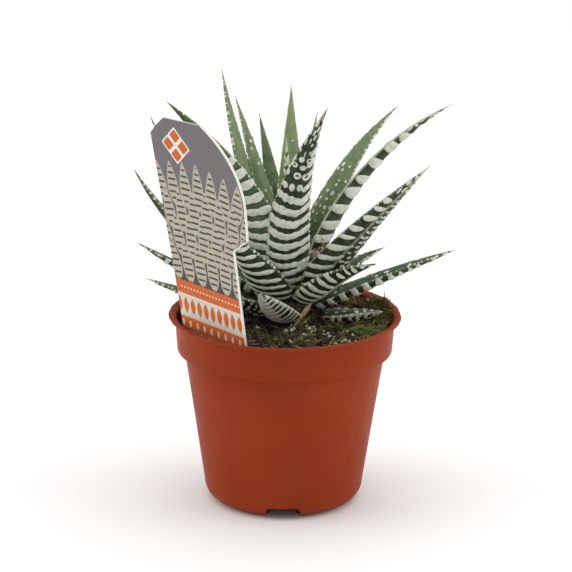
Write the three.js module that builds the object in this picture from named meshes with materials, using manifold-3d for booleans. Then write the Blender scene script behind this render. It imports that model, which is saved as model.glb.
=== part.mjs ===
// Potted haworthia: a rosette of banded succulent leaves in a small nursery pot.
// Units are millimetres, +Z is up, the viewer stands on the -Y side, and the
// origin is the middle of the pot's underside.

import * as THREE from 'three';
import { mergeVertices } from 'three/addons/utils/BufferGeometryUtils.js';
import Module from 'manifold-3d';

const wasm = await Module();
wasm.setup();
const { Manifold } = wasm;

const degrees = Math.PI / 180;

// Clearance between pieces that touch on the real plant.
const GAP = 0.3;

// Nursery pot: 85 mm over the flared lip and 70 mm high. The body flares to a wider
// band under the lip, and the floor has a thin middle pad and a raised channel.
const POT = {
  height: 70,
  lipRadius: 42.5,
  lipThickness: 1,
  lipRootRadius: 41.3,
  lipInnerRadius: 41.2,
  lipBend: { radius: 39.8, drop: 0.8 },
  bandTopRadius: 40,
  bandTopHeight: 67.9,
  bandFootRadius: 39.2,
  bandFootHeight: 56.4,
  bandRound: 0.7,
  bodyTopRadius: 36.5,
  bodyFootRadius: 29.1,
  cornerRadius: 6.5,
  innerCornerRadius: 2.6,
  wall: 0.95,
  floorTop: 4.4,
  channelTop: 3.4,
  channelSlope: 1,
  channelOuterRadius: 21.2,
  padRadius: 9,
  padThickness: 1.2,
  sides: 54,
};
const FOOT_NOTCH = {
  count: 3,
  topWidth: 11,
  footWidth: 14.4,
  chamfer: 0.5,
  innerRadius: 19.5,
  outerRadius: 33,
};
const DRAIN = { count: 6, radius: 2.5, ringRadius: 15.6, cut: 12, sides: 10 };

// Crown of the plant, set a little right of and behind the pot's axis.
const CROWN = { x: 2, y: 5 };
const STEM = {
  footHeight: 56,
  soilHeight: 68,
  topHeight: 84.5,
  footRadius: 3.4,
  soilRadius: 6.2,
  topRadius: 1.8,
  sides: 14,
};

// Fleshy roots: they run out and down from the stem's foot, steeper with depth.
const ROOT = {
  count: 5,
  firstTurn: 0.3,
  startHeight: 60,
  startReach: 1.2,
  outward: 16,
  downward: 19.5,
  steepening: 9,
  curl: 0.4,
  radius: 1.5,
  tipRadius: 0.7,
  tilt: [38, 68],
  stations: 3,
  sides: 5,
};

// Peat: level a few millimetres under the lip, with a mound at the crown.
const SOIL = {
  level: 66.3,
  mound: 5.4,
  moundRadius: 10,
  roughness: 0.45,
  cornerHeight: 8,
  edgeDepth: 2,
  rings: 7,
  sides: 36,
};
const MOSS_MOUND = { x: 32.5, y: 10.5, radius: 6.8, height: 5.4 };

// How a leaf's width and thickness run from foot to tip, as shares of the full
// size: full at `widest`, less by `footLoss` at the foot, nothing at the tip.
const WIDTH_RUN = { widest: 0.2, footLoss: 0.28, power: 1.3, closing: 1.05 };
const DEPTH_RUN = { widest: 0.3, footLoss: 0.4, power: 1.5, closing: 0.85 };
const TIP = { width: 0.8, thickness: 0.7 };

// Cross-section: a keeled swell on the outer face, a shallow one on the inner.
const SECTION = { swell: 0.78, power: 1.55, closing: 0.9, innerSwell: 0.22 };
const KEEL_SHIFT = { from: 0.25, to: 0.6 };

// Relief of the outer face: raised bands bowed towards the foot at the keel,
// teeth where they meet the margins, and separate tubercles nearer the tip.
const BAND = {
  start: 4.5,
  footPitch: 3.2,
  tipPitch: 6.4,
  valley: 0.62,
  tipClearance: 1.5,
  height: 0.55,
  toothHeight: 0.35,
  sweep: 0.32,
  sweepCentre: 0.35,
  sweepStart: 0.1,
  fade: 0.25,
  dottedFrom: 0.62,
};

// Places round the outer face, from one margin (-1) over the keel (0) to the
// other (1). Leaves wider than BROAD_LEAF have more of them.
const OUTER_PLACES = { broad: [-1, -0.72, -0.36, 0, 0.36, 0.72, 1], narrow: [-1, -0.5, 0, 0.5, 1] };
const BROAD_LEAF = 12.4;

// Smooth, larger copy of a leaf that its outer neighbours are cut clear of.
const LEAF_CLEARANCE = { grow: BAND.height + GAP + 0.1, steps: 12 };

// Plant label, standing against the left front of the pot and leaning out. Its
// outline runs [to the right, up] from its foot point at the level of the lip.
const LABEL = {
  thickness: 0.8,
  foot: { x: -24.9, y: -23.9, z: 70 },
  yaw: -45,
  leanOut: 11,
  leanSide: -3,
  right: [[0, -48], [8, -20], [9, -13], [16, -3.5], [15, 36], [22.5, 42], [23, 54]],
  shoulder: [[22.5, 71], [5, 81.2]],
  left: [[-14, 79.8], [-17.8, 76.6], [-21.5, 72.5], [-17.7, 22], [-16.2, -3.5], [-9, -13], [-8, -20]],
  curveSegments: 9,
};

// One row per leaf, from the heart of the rosette outwards: azimuth of the
// leaf (0 is +X, 90 is +Y), height and radius of its foot, lean from upright at
// the foot and at the tip, length, width and thickness. Where a leaf has them:
// roll about its own axis, sideways sway of its tip, and how far its keel
// stands off the middle. Angles are in degrees.
const PLAIN_LEAF = { roll: 0, sway: 0, keel: 0 };
const LEAVES = [
  { azimuth: 200, foot: 85.0, reach: 1.2, lean: [9, 11], length: 38, width: 4.4, depth: 2.2, roll: 60 },
  { azimuth: 235, foot: 84.0, reach: 2.0, lean: [2, 2], length: 51, width: 6, depth: 3, roll: 60 },
  { azimuth: 45, foot: 83.0, reach: 2.4, lean: [2, 18], length: 60, width: 7.5, depth: 3.4 },
  { azimuth: 95, foot: 82.4, reach: 2.8, lean: [6, 1], length: 70, width: 12.5, depth: 4, roll: 10 },
  { azimuth: 113, foot: 81.6, reach: 3.2, lean: [23, 32], length: 62, width: 9.5, depth: 3.8, roll: -10 },
  { azimuth: 130, foot: 80.6, reach: 3.6, lean: [20, 30], length: 70, width: 10, depth: 4.2 },
  {
    azimuth: -112, foot: 79.4, reach: 5.0, lean: [8, 22], length: 76, width: 17, depth: 6.2,
    roll: 14, sway: 23, keel: 0.5,
  },
  { azimuth: 146, foot: 79.2, reach: 4.2, lean: [26, 13], length: 81, width: 11, depth: 4.6 },
  { azimuth: 42, foot: 78.6, reach: 4.4, lean: [16, 62], length: 79, width: 12.5, depth: 5, roll: 10 },
  { azimuth: 206, foot: 78.0, reach: 4.8, lean: [13, 49], length: 88, width: 17, depth: 6, roll: 48 },
  { azimuth: 15, foot: 77.2, reach: 5.0, lean: [11.5, 68], length: 90, width: 12.5, depth: 4.6, roll: -40 },
  {
    azimuth: -33, foot: 76.4, reach: 5.2, lean: [39, 47], length: 77, width: 11.6, depth: 5.2,
    roll: -55, keel: -0.1,
  },
  { azimuth: 160, foot: 75.8, reach: 5.4, lean: [52, 26], length: 80, width: 12, depth: 5 },
  { azimuth: 74, foot: 75.2, reach: 5.6, lean: [36, 64], length: 44, width: 12, depth: 4.8 },
  { azimuth: -135, foot: 74.6, reach: 5.8, lean: [36, 50], length: 46, width: 14.5, depth: 5.2, roll: 30 },
  { azimuth: 181, foot: 74.0, reach: 6.0, lean: [60, 33], length: 71, width: 12, depth: 5, roll: 10 },
  { azimuth: 16, foot: 73.4, reach: 6.2, lean: [46, 73], length: 35, width: 10, depth: 3.8, roll: 12 },
  { azimuth: 115, foot: 72.8, reach: 6.4, lean: [40, 68], length: 50, width: 12, depth: 4.8 },
  {
    azimuth: -46, foot: 74.2, reach: 6.2, lean: [44, 74], length: 44, width: 12.5, depth: 5,
    roll: -20, keel: 0.3,
  },
  { azimuth: -6, foot: 71.8, reach: 6.6, lean: [62, 71], length: 58, width: 11.5, depth: 4.8 },
  { azimuth: 50, foot: 71.4, reach: 6.8, lean: [66, 84], length: 38, width: 11.5, depth: 4.6 },
  { azimuth: 190, foot: 71.0, reach: 6.8, lean: [64, 60], length: 56, width: 11, depth: 4.6 },
  { azimuth: 145, foot: 70.6, reach: 7.0, lean: [60, 76], length: 46, width: 11, depth: 4.6 },
  { azimuth: -142, foot: 70.4, reach: 7.0, lean: [62, 74], length: 34, width: 11.5, depth: 4.6, roll: 10 },
  { azimuth: 172, foot: 69.8, reach: 7.2, lean: [84, 74], length: 48, width: 9.5, depth: 4.2 },
  {
    azimuth: -107.5, foot: 70.6, reach: 7.2, lean: [56, 67], length: 31, width: 16.5, depth: 7,
    roll: -14, keel: -0.15,
  },
  { azimuth: -8, foot: 68.7, reach: 11.5, lean: [84, 86], length: 23, width: 9.6, depth: 5.3 },
  { azimuth: 94, foot: 69.6, reach: 7.4, lean: [74, 84], length: 40, width: 11, depth: 4.4 },
].map((row) => ({ ...PLAIN_LEAF, ...row }));

// Solids from geometries and back.

function solidOf(geometry) {
  const bare = geometry.clone();
  bare.deleteAttribute('normal');
  bare.deleteAttribute('uv');
  const merged = mergeVertices(bare, 1e-4);
  const vertProperties = new Float32Array(merged.attributes.position.array);
  const triVerts = new Uint32Array(merged.index.array);
  return new Manifold(new wasm.Mesh({ numProp: 3, vertProperties, triVerts }));
}

function geometryOf(solid) {
  const mesh = solid.getMesh();
  const geometry = new THREE.BufferGeometry();
  geometry.setAttribute('position', new THREE.BufferAttribute(new Float32Array(mesh.vertProperties), 3));
  geometry.setIndex(new THREE.BufferAttribute(new Uint32Array(mesh.triVerts), 1));
  return geometry;
}

function largestPiece(solid) {
  const pieces = solid.decompose();
  return pieces.reduce((best, piece) => (piece.volume() > best.volume() ? piece : best));
}

// A closed solid through rings of points, each ring with the same count.
function solidThroughRings(rings) {
  const count = rings[0].length;
  const positions = [];
  const index = [];
  rings.flat().forEach((p) => positions.push(p.x, p.y, p.z));
  const closeEnd = (ring, base, flip) => {
    const middle = ring.reduce((sum, p) => sum.add(p), new THREE.Vector3()).divideScalar(count);
    const centre = positions.length / 3;
    positions.push(middle.x, middle.y, middle.z);
    for (let i = 0; i < count; i++) {
      const next = (i + 1) % count;
      if (flip) index.push(centre, base + next, base + i);
      else index.push(centre, base + i, base + next);
    }
  };
  for (let r = 0; r + 1 < rings.length; r++) {
    for (let i = 0; i < count; i++) {
      const next = (i + 1) % count;
      const a = r * count + i;
      const b = r * count + next;
      const c = a + count;
      const d = b + count;
      index.push(a, b, d, a, d, c);
    }
  }
  closeEnd(rings[0], 0, true);
  closeEnd(rings[rings.length - 1], (rings.length - 1) * count, false);
  const geometry = new THREE.BufferGeometry();
  geometry.setAttribute('position', new THREE.Float32BufferAttribute(positions, 3));
  geometry.setIndex(index);
  const solid = solidOf(geometry);
  return solid.volume() > 0 ? solid : solidThroughRings(rings.map((ring) => [...ring].reverse()));
}

// A turned solid from [radius, height] points, run up the outside first.
function lathe(profile, sides) {
  const points = profile.map(([radius, height]) => new THREE.Vector2(radius, height));
  const geometry = new THREE.LatheGeometry(points, sides);
  geometry.rotateX(Math.PI / 2);
  const solid = solidOf(geometry);
  if (solid.volume() > 0) return solid;
  const corners = geometry.index.array;
  for (let i = 0; i < corners.length; i += 3) {
    [corners[i], corners[i + 1]] = [corners[i + 1], corners[i]];
  }
  return solidOf(geometry);
}

// Pot.

function arc(centreRadius, centreHeight, radius, from, to, steps) {
  return Array.from({ length: steps + 1 }, (_, i) => {
    const angle = (from + (to - from) * (i / steps)) * degrees;
    return [centreRadius + radius * Math.cos(angle), centreHeight + radius * Math.sin(angle)];
  });
}

// Radius of the inner wall at a height, for the pot and the soil in it.
function innerRadius(height) {
  const { bodyTopRadius, bodyFootRadius, bandTopRadius, bandFootRadius, bandFootHeight, wall } = POT;
  if (height > bandFootHeight) {
    const share = (height - bandFootHeight) / (POT.bandTopHeight - bandFootHeight);
    return bandFootRadius + (bandTopRadius - bandFootRadius) * share - wall;
  }
  const share = (height - POT.cornerRadius) / (bandFootHeight - POT.cornerRadius);
  return bodyFootRadius + (bodyTopRadius - bodyFootRadius) * share - wall;
}

function potProfile() {
  const p = POT;
  const outerCorner = p.bodyFootRadius - p.cornerRadius;
  const innerCorner = innerRadius(p.floorTop + p.innerCornerRadius) - p.innerCornerRadius;
  const ledge = p.bandFootHeight - p.wall;
  return [
    [0, 0],
    [p.padRadius, 0],
    [p.padRadius + p.channelSlope, p.channelTop],
    [p.channelOuterRadius - p.channelSlope, p.channelTop],
    [p.channelOuterRadius, 0],
    ...arc(outerCorner, p.cornerRadius, p.cornerRadius, -90, 0, 3),
    [p.bodyTopRadius, p.bandFootHeight],
    [p.bandFootRadius - p.bandRound, p.bandFootHeight],
    [p.bandFootRadius, p.bandFootHeight + p.bandRound],
    [p.bandTopRadius, p.bandTopHeight],
    [p.lipRootRadius, p.height - p.lipThickness],
    [p.lipRadius, p.height - p.lipThickness],
    [p.lipRadius, p.height],
    [p.lipInnerRadius, p.height],
    [p.lipBend.radius, p.height - p.lipBend.drop],
    [p.bandTopRadius - p.wall, p.bandTopHeight],
    [p.bandFootRadius - p.wall, p.bandFootHeight],
    [innerRadius(ledge), ledge],
    ...arc(innerCorner, p.floorTop + p.innerCornerRadius, p.innerCornerRadius, 0, -90, 1),
    [p.padRadius, p.floorTop],
    [p.padRadius - p.padThickness, p.padThickness],
    [0, p.padThickness],
  ];
}

// Trapezoid notch in the foot ring, open downwards and outwards.
function footNotch() {
  const { topWidth, footWidth, chamfer, innerRadius: near, outerRadius: far } = FOOT_NOTCH;
  const below = 1;
  const shape = new THREE.Shape();
  shape.moveTo(-footWidth / 2 - chamfer, -below);
  shape.lineTo(footWidth / 2 + chamfer, -below);
  shape.lineTo(topWidth / 2, POT.channelTop - chamfer);
  shape.lineTo(topWidth / 2 - chamfer, POT.channelTop);
  shape.lineTo(-topWidth / 2 + chamfer, POT.channelTop);
  shape.lineTo(-topWidth / 2, POT.channelTop - chamfer);
  const geometry = new THREE.ExtrudeGeometry(shape, { depth: far - near, bevelEnabled: false });
  geometry.rotateX(Math.PI / 2);
  geometry.translate(0, -near, 0);
  return solidOf(geometry);
}

function drainHole() {
  const geometry = new THREE.CylinderGeometry(DRAIN.radius, DRAIN.radius, DRAIN.cut, DRAIN.sides);
  geometry.rotateX(Math.PI / 2);
  geometry.translate(DRAIN.ringRadius, 0, POT.floorTop);
  return solidOf(geometry);
}

function makePot() {
  let pot = lathe(potProfile(), POT.sides);
  for (let i = 0; i < FOOT_NOTCH.count; i++) {
    pot = pot.subtract(footNotch().rotate([0, 0, (360 / FOOT_NOTCH.count) * i]));
  }
  for (let i = 0; i < DRAIN.count; i++) {
    pot = pot.subtract(drainHole().rotate([0, 0, (360 / DRAIN.count) * (i + 0.5)]));
  }
  return largestPiece(pot);
}

// Leaves.

// Share of the full size at t of the length, 0 at the foot and 1 at the tip.
function shareAlong(run, t) {
  if (t < run.widest) return 1 - run.footLoss * ((run.widest - t) / run.widest) ** 2;
  const x = (t - run.widest) / (1 - run.widest);
  return (1 - x ** run.power) ** run.closing;
}

// Point and directions of the leaf's curved axis at t: along, out (the keel side)
// and across. Its lean changes evenly from foot to tip, so the axis is an arc.
function axisAt(leaf, t) {
  const heading = leaf.azimuth * degrees;
  const start = leaf.lean[0] * degrees;
  const bend = (leaf.lean[1] - leaf.lean[0]) * degrees || 1e-6;
  const lean = start + bend * t;
  const forward = (leaf.length / bend) * (Math.cos(start) - Math.cos(lean));
  const rise = (leaf.length / bend) * (Math.sin(lean) - Math.sin(start));
  const sideways = leaf.sway * t * t;
  const radial = new THREE.Vector3(Math.cos(heading), Math.sin(heading), 0);
  const left = new THREE.Vector3(-Math.sin(heading), Math.cos(heading), 0);
  const along = radial.clone().multiplyScalar(Math.sin(lean)).setZ(Math.cos(lean));
  const out = radial.clone().multiplyScalar(Math.cos(lean)).setZ(-Math.sin(lean));
  out.applyAxisAngle(along, leaf.roll * degrees);
  const across = new THREE.Vector3().crossVectors(along, out);
  const point = new THREE.Vector3(CROWN.x, CROWN.y, leaf.foot + rise)
    .addScaledVector(radial, leaf.reach + forward)
    .addScaledVector(left, sideways);
  return { point, along, out, across };
}

// Places along the leaf where a raised band has its crest or its valley.
function bandStations(leaf) {
  const stations = [{ t: 0, crest: 0, number: 0 }];
  const pitchAt = (place) => BAND.footPitch + (BAND.tipPitch - BAND.footPitch) * (place / leaf.length);
  let place = BAND.start;
  for (let number = 0; place + pitchAt(place) < leaf.length - BAND.tipClearance; number++) {
    const pitch = pitchAt(place);
    stations.push({ t: place / leaf.length, crest: 1, number });
    stations.push({ t: (place + pitch * BAND.valley) / leaf.length, crest: 0, number });
    place += pitch;
  }
  stations.push({ t: 1, crest: 0, number: 0 });
  return stations;
}

// Place of u measured from the keel, which moves off the middle along the leaf.
function fromKeel(leaf, t, u) {
  const crest = leaf.keel * THREE.MathUtils.smoothstep(t, KEEL_SHIFT.from, KEEL_SHIFT.to);
  return u < crest ? (u - crest) / (1 + crest) : (u - crest) / (1 - crest);
}

// One ring round the leaf: the places on its outer face, then one on its inner.
function leafRing(leaf, station, grow) {
  const { t, crest, number } = station;
  const half = Math.max((leaf.width / 2) * shareAlong(WIDTH_RUN, t), TIP.width / 2) + grow;
  const depth = Math.max(leaf.depth * shareAlong(DEPTH_RUN, t), TIP.thickness) + grow;
  const fade = Math.min(1, (1 - t) / BAND.fade);
  const sweepBack = BAND.sweep * half * Math.min(1, t / BAND.sweepStart) * fade;
  const places = leaf.width > BROAD_LEAF ? OUTER_PLACES.broad : OUTER_PLACES.narrow;
  const ring = places.map((u, i) => {
    const swept = t + (sweepBack * (u * u - BAND.sweepCentre)) / leaf.length;
    const { point, out, across } = axisAt(leaf, THREE.MathUtils.clamp(swept, 0, 1));
    const skipped = t > BAND.dottedFrom && (i + number) % 2;
    const raised = skipped ? 0 : crest * fade;
    const swell = depth * SECTION.swell
      * (1 - Math.abs(fromKeel(leaf, t, u)) ** SECTION.power) ** SECTION.closing;
    const margin = Math.abs(u) === 1;
    const lift = margin ? 0 : BAND.height * raised;
    const tooth = margin ? BAND.toothHeight * raised : 0;
    return point.addScaledVector(across, u * (half + tooth)).addScaledVector(out, swell + lift);
  });
  const { point, out } = axisAt(leaf, t);
  return [...ring, point.addScaledVector(out, -depth * SECTION.innerSwell)];
}

function makeLeaf(leaf) {
  return solidThroughRings(bandStations(leaf).map((station) => leafRing(leaf, station, 0)));
}

function makeLeafClearance(leaf) {
  const { grow, steps } = LEAF_CLEARANCE;
  const stations = Array.from({ length: steps + 1 }, (_, i) => ({ t: i / steps, crest: 0, number: 0 }));
  return solidThroughRings(stations.map((station) => leafRing(leaf, station, grow)));
}

// Stem with its roots.

function stemProfile(grow) {
  const s = STEM;
  return [
    [0, s.footHeight - grow],
    [s.footRadius + grow, s.footHeight - grow],
    [s.soilRadius + grow, s.soilHeight],
    [s.topRadius + grow, s.topHeight + grow],
    [0, s.topHeight + grow],
  ];
}

function makeRoot(number, grow) {
  const heading = ((number + ROOT.firstTurn) / ROOT.count) * 2 * Math.PI;
  const side = new THREE.Vector3(-Math.sin(heading), Math.cos(heading), 0);
  const rings = Array.from({ length: ROOT.stations + 1 }, (_, i) => {
    const t = i / ROOT.stations;
    const turned = heading + ROOT.curl * t;
    const reach = ROOT.startReach + ROOT.outward * t;
    const centre = new THREE.Vector3(
      CROWN.x + reach * Math.cos(turned),
      CROWN.y + reach * Math.sin(turned),
      ROOT.startHeight - ROOT.downward * t - ROOT.steepening * t * t,
    );
    if (i === ROOT.stations) centre.z -= grow;
    const tilt = THREE.MathUtils.lerp(ROOT.tilt[0], ROOT.tilt[1], t) * degrees;
    const upward = new THREE.Vector3(Math.cos(heading), Math.sin(heading), 0)
      .multiplyScalar(Math.sin(tilt))
      .setZ(Math.cos(tilt));
    const radius = THREE.MathUtils.lerp(ROOT.radius, ROOT.tipRadius, t) + grow;
    return Array.from({ length: ROOT.sides }, (__, k) => {
      const angle = (k / ROOT.sides) * 2 * Math.PI;
      return centre.clone()
        .addScaledVector(side, radius * Math.cos(angle))
        .addScaledVector(upward, radius * Math.sin(angle));
    });
  });
  return solidThroughRings(rings);
}

function makeStem(grow) {
  let stem = lathe(stemProfile(grow), STEM.sides).translate([CROWN.x, CROWN.y, 0]);
  for (let i = 0; i < ROOT.count; i++) stem = stem.add(makeRoot(i, grow));
  return stem;
}

// Soil.

function soilHeight(x, y) {
  const fromCrown = Math.hypot(x - CROWN.x, y - CROWN.y);
  const fromMoss = Math.hypot(x - MOSS_MOUND.x, y - MOSS_MOUND.y);
  const waves = Math.sin(0.55 * x + 1.3) * Math.cos(0.48 * y) + 0.6 * Math.sin(1.1 * x - 0.9 * y + 2);
  return SOIL.level
    + SOIL.mound * Math.exp(-((fromCrown / SOIL.moundRadius) ** 2))
    + MOSS_MOUND.height * Math.exp(-((fromMoss / MOSS_MOUND.radius) ** 2))
    + SOIL.roughness * waves;
}

// Soil that fills the pot, before the stem, the leaves and the label are cut out.
function makeSoilBlock() {
  const ringAt = (radius, heightAt) => Array.from({ length: SOIL.sides }, (_, i) => {
    const angle = (i / SOIL.sides) * 2 * Math.PI;
    const x = radius * Math.cos(angle);
    const y = radius * Math.sin(angle);
    return new THREE.Vector3(x, y, heightAt(x, y));
  });
  const flat = (height) => () => height;
  const facetFit = Math.cos(Math.PI / SOIL.sides);
  const wallRadius = (height) => (innerRadius(height) - GAP - 0.1) * facetFit;
  const floor = POT.floorTop + GAP;
  const ledge = POT.bandFootHeight - POT.wall;
  const aboveLedge = POT.bandFootHeight + 2 * GAP;
  const rimRadius = wallRadius(SOIL.level);
  const rings = [
    ringAt(POT.padRadius, flat(floor)),
    ringAt(wallRadius(SOIL.cornerHeight) - POT.innerCornerRadius, flat(floor)),
    ringAt(wallRadius(SOIL.cornerHeight), flat(SOIL.cornerHeight)),
    ringAt(wallRadius(ledge), flat(ledge + GAP / 2)),
    ringAt(wallRadius(aboveLedge), flat(aboveLedge)),
    ringAt(rimRadius, flat(SOIL.level - SOIL.edgeDepth)),
  ];
  for (let i = 0; i < SOIL.rings; i++) {
    rings.push(ringAt(rimRadius * (1 - i / SOIL.rings), soilHeight));
  }
  return solidThroughRings(rings);
}

// Label: a tag with one rounded shoulder, a narrower shank and a pointed stake,
// drawn flat, then turned and leaned into place.

function labelShape(grow) {
  const grown = ([right, up]) => [right + Math.sign(right) * grow, up + (up < 0 ? -grow : grow)];
  const shape = new THREE.Shape();
  shape.moveTo(...grown(LABEL.right[0]));
  LABEL.right.slice(1).forEach((corner) => shape.lineTo(...grown(corner)));
  shape.quadraticCurveTo(...LABEL.shoulder.flatMap(grown));
  LABEL.left.forEach((corner) => shape.lineTo(...grown(corner)));
  return shape;
}

function makeLabel(grow) {
  const depth = LABEL.thickness + 2 * grow;
  const { curveSegments } = LABEL;
  const geometry = new THREE.ExtrudeGeometry(labelShape(grow), { depth, bevelEnabled: false, curveSegments });
  geometry.translate(0, 0, -depth / 2);
  geometry.rotateX(Math.PI / 2);
  geometry.rotateY(-LABEL.leanSide * degrees);
  geometry.rotateX(LABEL.leanOut * degrees);
  geometry.rotateZ(LABEL.yaw * degrees);
  geometry.translate(LABEL.foot.x, LABEL.foot.y, LABEL.foot.z);
  return solidOf(geometry);
}

// Assembly.

const MATERIALS = {
  pot: { color: 0x9c4327, roughness: 0.45, metalness: 0 },
  soil: { color: 0x2b211a, roughness: 0.95, metalness: 0 },
  stem: { color: 0xb9b48a, roughness: 0.8, metalness: 0 },
  label: { color: 0x7d7781, roughness: 0.4, metalness: 0 },
  leaf: { color: 0x52694a, roughness: 0.55, metalness: 0 },
};

function namedMesh(name, solid, look) {
  const mesh = new THREE.Mesh(geometryOf(solid), new THREE.MeshStandardMaterial(look));
  mesh.name = name;
  return mesh;
}

// Leaves are cut clear of the stem and of every leaf nearer the heart.
function makeRosette(stemClearance) {
  const solids = [];
  const clearances = [];
  LEAVES.forEach((leaf) => {
    let solid = makeLeaf(leaf).subtract(stemClearance);
    clearances.forEach((clearance) => {
      solid = solid.subtract(clearance);
    });
    solids.push(largestPiece(solid));
    clearances.push(makeLeafClearance(leaf));
  });
  return { solids, clearances };
}

function makeSoil(stemClearance, leafClearances) {
  let soil = makeSoilBlock().subtract(stemClearance).subtract(makeLabel(GAP));
  leafClearances.forEach((clearance) => {
    soil = soil.subtract(clearance);
  });
  return largestPiece(soil);
}

function assemble() {
  const stemClearance = makeStem(GAP + 0.05);
  const { solids: leaves, clearances } = makeRosette(stemClearance);
  const group = new THREE.Group();
  group.add(
    namedMesh('pot', makePot(), MATERIALS.pot),
    namedMesh('soil', makeSoil(stemClearance, clearances), MATERIALS.soil),
    namedMesh('stem', makeStem(0), MATERIALS.stem),
    namedMesh('label', makeLabel(0), MATERIALS.label),
  );
  leaves.forEach((solid, i) => {
    group.add(namedMesh(`leaf_${String(i + 1).padStart(2, '0')}`, solid, MATERIALS.leaf));
  });
  return group;
}

export default assemble();
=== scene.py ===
"""Potted haworthia: the looks of a banded rosette in a terracotta-coloured nursery pot.

Sizes are written in millimetres and turned to metres where a mesh is made. The frame is the
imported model's own: +Z up, the viewer on the -Y side, origin under the middle of the pot.
"""

import logging
import math
from dataclasses import dataclass, field
from enum import Enum

import bmesh
import bpy
import numpy as np
from mathutils import Matrix, Vector, noise


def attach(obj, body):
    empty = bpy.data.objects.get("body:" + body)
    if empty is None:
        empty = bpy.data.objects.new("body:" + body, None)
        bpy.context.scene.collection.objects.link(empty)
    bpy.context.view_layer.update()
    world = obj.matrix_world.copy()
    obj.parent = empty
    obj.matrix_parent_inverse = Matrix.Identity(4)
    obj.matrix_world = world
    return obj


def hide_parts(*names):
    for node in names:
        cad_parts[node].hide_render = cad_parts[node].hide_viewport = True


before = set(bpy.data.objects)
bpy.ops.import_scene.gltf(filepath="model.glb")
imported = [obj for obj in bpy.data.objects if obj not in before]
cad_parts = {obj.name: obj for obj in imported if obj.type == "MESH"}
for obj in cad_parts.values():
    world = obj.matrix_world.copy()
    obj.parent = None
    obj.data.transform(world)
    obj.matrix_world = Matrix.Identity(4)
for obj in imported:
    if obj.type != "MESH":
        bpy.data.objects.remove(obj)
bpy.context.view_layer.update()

LOG = logging.getLogger("potted_haworthia")
MM = 0.001
ROOT_BODY = "root"

Socket = bpy.types.NodeSocket
Number = float | Socket
Colour = str | Socket
Face = tuple[int, ...]
Spot = tuple[float, float, float, float]


class Draws(Enum):
    """Seeds of the random draws, so that each piece comes out the same in every run."""

    CRUMBS = 71
    PERLITE = 72
    BARK = 73
    MOSS = 74
    FIBRES = 75
    LEAF_BASES = 76
    CAUGHT_CRUMBS = 77
    LEAVES = 400

    def begin(self, step: int = 0) -> np.random.Generator:
        """Fresh source of draws for a piece, or for the piece of number step."""
        return np.random.default_rng(self.value + step)


# Colour and node helpers.


def linear(hex_colour: str) -> tuple[float, float, float, float]:
    """Turn an sRGB hex colour into linear red, green, blue and alpha.

    Args:
        hex_colour: six hex digits, such as "9C4327".

    Returns:
        Linear RGBA with alpha 1.
    """
    channels = [int(hex_colour[i:i + 2], 16) / 255 for i in (0, 2, 4)]
    curved = [c / 12.92 if c <= 0.04045 else ((c + 0.055) / 1.055) ** 2.4 for c in channels]
    return (*curved, 1.0)


def feed(tree: bpy.types.NodeTree, node: bpy.types.Node, inputs: dict[str | int, object]) -> None:
    """Link a node's inputs to sockets, or fill them with constants.

    Args:
        tree: node tree that the node is in.
        node: the node.
        inputs: socket name or number to a value, or to a socket that is linked in.
    """
    for key, value in inputs.items():
        if isinstance(value, Socket):
            tree.links.new(value, node.inputs[key])
        else:
            node.inputs[key].default_value = value


def add_node(
    tree: bpy.types.NodeTree, kind: str, inputs: dict[str | int, object] | None = None, **settings: object
) -> bpy.types.Node:
    """Add a shader node, set it up and link or fill its inputs.

    Args:
        tree: node tree that gets the node.
        kind: Blender's name of the node type.
        inputs: socket name or number to a value, or to a socket that is linked in.
        settings: attributes of the node.

    Returns:
        The new node.
    """
    node = tree.nodes.new(kind)
    for name, value in settings.items():
        setattr(node, name, value)
    feed(tree, node, inputs or {})
    return node


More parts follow.
